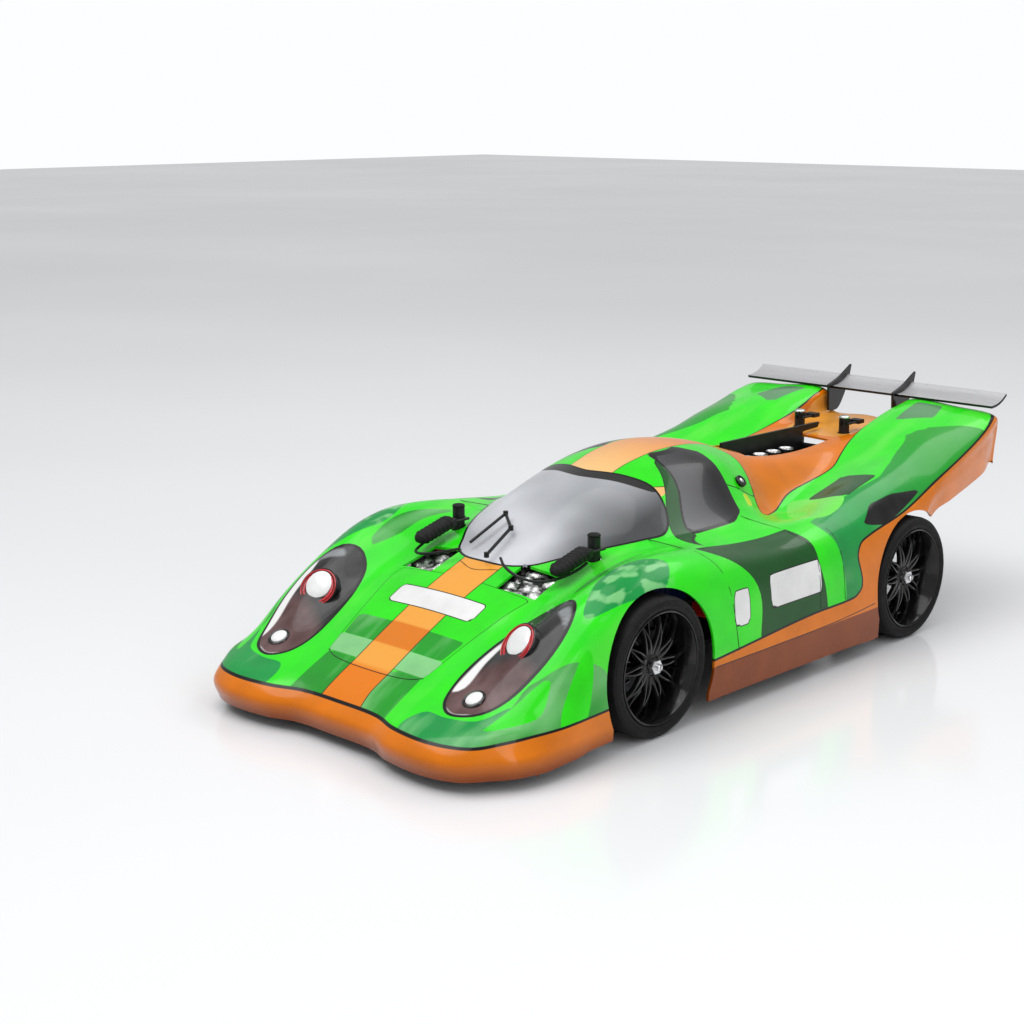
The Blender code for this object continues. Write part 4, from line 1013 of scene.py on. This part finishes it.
WING_HALF = 83.0
WING_TOP = [(200.0, 109.2), (205.5, 109.8), (211.0, 111.6), (216.0, 114.6)]
FIN_X = 21.9
FIN_HALF = 0.8
FIN_TOP = [(219.7, 120.3), (214.5, 117.6), (207, 113.8), (196, 110.3)]
FIN_FRONT = [(197, 94.8), (206, 94.8), (212.5, 102), (217.5, 112), (219.7, 119.4)]


def tail_wing(finishes):
    """The curved wing plate, grey above and black underneath."""
    top = rounded(WING_TOP, closed=False, steps=5)
    outline = [tuple(p) for p in top] + [(y + 0.7, z - 1.6) for y, z in reversed(top)]
    mesh = prism(outline, 0, -WING_HALF, WING_HALF)
    made = piece("wing_plate", mesh, finishes["dark_metal"], "shell", bevel=0.3)
    mesh.materials.append(finishes["black_plastic"])
    for face in mesh.polygons:
        if face.normal.z < -0.2 or abs(face.normal.x) > 0.9:
            face.material_index = 1
    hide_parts("rear_wing")
    for side_name, side in SIDES.items():
        outline = [tuple(p) for line in (FIN_FRONT, FIN_TOP) for p in rounded(line, closed=False, steps=5)]
        fin = prism(outline, 0, side * FIN_X - FIN_HALF, side * FIN_X + FIN_HALF)
        made = piece(f"tail_fin_{side_name}", fin, finishes["gloss_black"], "shell",
                     bevel=0.35)
        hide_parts(f"wing_fin_{side_name}")


# Under the shell

SHOCK_TOP = (32.0, 60.0)
SHOCK_FOOT = (50.0, 20.5)
SHOCK_DY = 8.5
SPRING_TURNS = 6.5
SPRING_RADIUS = 4.6
SPRING_SPAN = (0.27, 0.83)
COLLAR_PROFILE = [(-1.8, 4.2), (-1.8, 5.6), (-0.9, 5.9), (-0.2, 5.6), (-0.2, 4.2)]


def springs(finishes):
    """A coil spring round each shock."""
    for axle, y in AXLES.items():
        for side_name, side in SIDES.items():
            top = Vector((SHOCK_TOP[0] * side, y + SHOCK_DY, SHOCK_TOP[1]))
            foot = Vector((SHOCK_FOOT[0] * side, y + SHOCK_DY, SHOCK_FOOT[1]))
            along = (foot - top).normalized()
            back = Vector((0, 1, 0))
            across = along.cross(back).normalized()
            start, end = [top.lerp(foot, share) for share in SPRING_SPAN]
            path = []
            count = int(SPRING_TURNS * 14)
            for i in range(count + 1):
                angle = 2 * math.pi * SPRING_TURNS * i / count
                path.append(start.lerp(end, i / count) + across * (SPRING_RADIUS * math.cos(angle))
                            + back * (SPRING_RADIUS * math.sin(angle)))
            mesh = sweep(path, 1.0, 1.0, tuple(along), 7)
            corner = f"{axle}_{side_name}"
            made = piece(f"coil_spring_{corner}", mesh, finishes["steel"], None)
            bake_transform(made)
            collar = turned(COLLAR_PROFILE, (0, 0, 0), 2, 28)
            collar = stand_on(collar, start - along * 0.3, along)
            piece(f"spring_collar_{corner}", collar, finishes["blue_wrap"], f"shock_body_{corner}")


def filler_detail(finishes):
    """A silver centre and a ring on the black filler cap."""
    low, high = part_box("filler_cap")
    middle = (low + high) / 2 / MM
    normal = Vector((0.7, 0.08, 0.7)).normalized()
    button = [(0.3, 0.01), (0.3, 1.5), (1.0, 1.4), (1.3, 0.9), (1.35, 0.01)]
    button = stand_on(turned(button, (0, 0, 0), 2, 28), middle, normal)
    piece("filler_button", button, finishes["steel"], "shell")
    ring = [(0.2, 2.4), (0.2, 3.3), (0.9, 3.2), (1.0, 2.9), (0.9, 2.5)]
    ring = stand_on(turned(ring, (0, 0, 0), 2, 36), middle, normal)
    piece("filler_ring", ring, finishes["gloss_black"], "shell")


MARKER_X = (81, 94.4)
MARKER_YZ = (-64.5, -58, 45, 52)


def arch_markers(finishes):
    """Small red blocks behind the front wheels."""
    for side_name, side in SIDES.items():
        mesh = block(MARKER_X[0] * side, MARKER_X[1] * side, *MARKER_YZ)
        piece(f"arch_marker_{side_name}", mesh, finishes["red_plastic"], "shell", bevel=0.6)


# Finishes of the CAD nodes that stay

FINISH_OF_SLOT = {
    "black_plastic": "black_plastic", "dark_metal": "plate", "steel": "steel", "tyre": "tyre",
    "rim_black": "gloss_black", "foam": "foam", "battery_wrap": "blue_wrap", "lamp": "gloss_black",
    "shell_paint": "black_plastic",
}


def cad_finishes(finishes):
    """Gives every CAD node that still shows the finish of its record slot."""
    for part in frame["record"]["subparts"]:
        node = NODES[part["node"]]
        node.data.materials.clear()
        node.data.materials.append(finishes[FINISH_OF_SLOT[part["material_slot"]]])


# Studio

CAMERA_AZIMUTH = 43.56
CAMERA_ELEVATION = 13.10
CAMERA_TARGET = (-93.42, 0.0, 54.48)
CAMERA_DISTANCE = 969.74
CAMERA_LENS = 62.23


FLOOR_HALF = 6000
# Name: place, target, size, power
AREA_LIGHTS = {
    "key": ((-300, -500, 1100), (0, 0, 50), (900, 900), 3.2),
    "side_strip": ((900, -300, 500), (60, 0, 60), (300, 900), 2.0),
    "rear_top": ((200, 700, 900), (0, 60, 80), (900, 400), 2.2),
}


def area_light(name, place, target, size, power):
    data = bpy.data.lights.new(name, "AREA")
    data.shape = "RECTANGLE"
    data.size, data.size_y = size[0] * MM, size[1] * MM
    data.energy = power
    lamp = show(name, data)
    lamp.location = Vector(place) * MM
    aim = Vector(target) - Vector(place)
    lamp.rotation_euler = aim.to_track_quat("-Z", "Y").to_euler()


def studio():
    """A pale glossy floor, a soft white surround, three area lights, a soft sun and the camera."""
    floor = show("studio_floor", block(-FLOOR_HALF, FLOOR_HALF, -FLOOR_HALF, FLOOR_HALF, -20, 0))
    made, tree, shader = node_tree("studio_floor")
    tone = map_range(tree, noise(tree, 1.2, 2.0), 0.3, 0.7)
    tree.links.new(mix(tree, tone, (0.80, 0.81, 0.83), (0.86, 0.865, 0.88)), shader.inputs["Base Color"])
    tree.links.new(map_range(tree, tone, 0.0, 1.0, 0.10, 0.16), shader.inputs["Roughness"])
    shader.inputs["Specular IOR Level"].default_value = 0.5
    floor.data.materials.append(made)

    scene = bpy.context.scene
    scene.view_settings.view_transform = "Standard"
    world = bpy.data.worlds.new("studio")
    world.use_nodes = True
    sky = world.node_tree
    seen = add_node(sky, "ShaderNodeLightPath").outputs["Is Camera Ray"]
    sky.nodes["Background"].inputs[0].default_value = (0.98, 0.99, 1.0, 1.0)
    sky.links.new(map_range(sky, seen, 0.0, 1.0, 0.5, 1.0), sky.nodes["Background"].inputs[1])
    scene.world = world
    for name, values in AREA_LIGHTS.items():
        area_light(name, *values)
    overhead = show("overhead", bpy.data.lights.new("overhead", "SUN"))
    overhead.data.energy = 1.3
    overhead.data.angle = math.radians(60)
    overhead.rotation_euler = (math.radians(12), math.radians(-8), 0.0)

    azimuth, elevation = math.radians(CAMERA_AZIMUTH), math.radians(CAMERA_ELEVATION)
    back = Vector((math.sin(azimuth) * math.cos(elevation), -math.cos(azimuth) * math.cos(elevation),
                   math.sin(elevation)))
    camera = show("camera", bpy.data.cameras.new("camera"))
    camera.location = (Vector(CAMERA_TARGET) + back * CAMERA_DISTANCE) * MM
    camera.rotation_euler = (math.pi / 2 - elevation, 0.0, azimuth)
    camera.data.lens = CAMERA_LENS
    camera.data.sensor_width = 36.0
    camera.data.clip_end = 50.0
    scene.camera = camera


studio()
FINISHES = make_finishes()
body_shell(FINISHES)
SURFACE = surface_tree()
headlamps(SURFACE, FINISHES)
panel_lines(SURFACE, FINISHES)
hood_inserts(SURFACE)
clip_pads(FINISHES)
post_tops(FINISHES)
engine_trumpets(FINISHES)
tail_wing(FINISHES)
arch_markers(FINISHES)
filler_detail(FINISHES)
for axle in AXLES:
    for side_name in SIDES:
        wheel(axle, side_name, FINISHES)
springs(FINISHES)
cad_finishes(FINISHES)
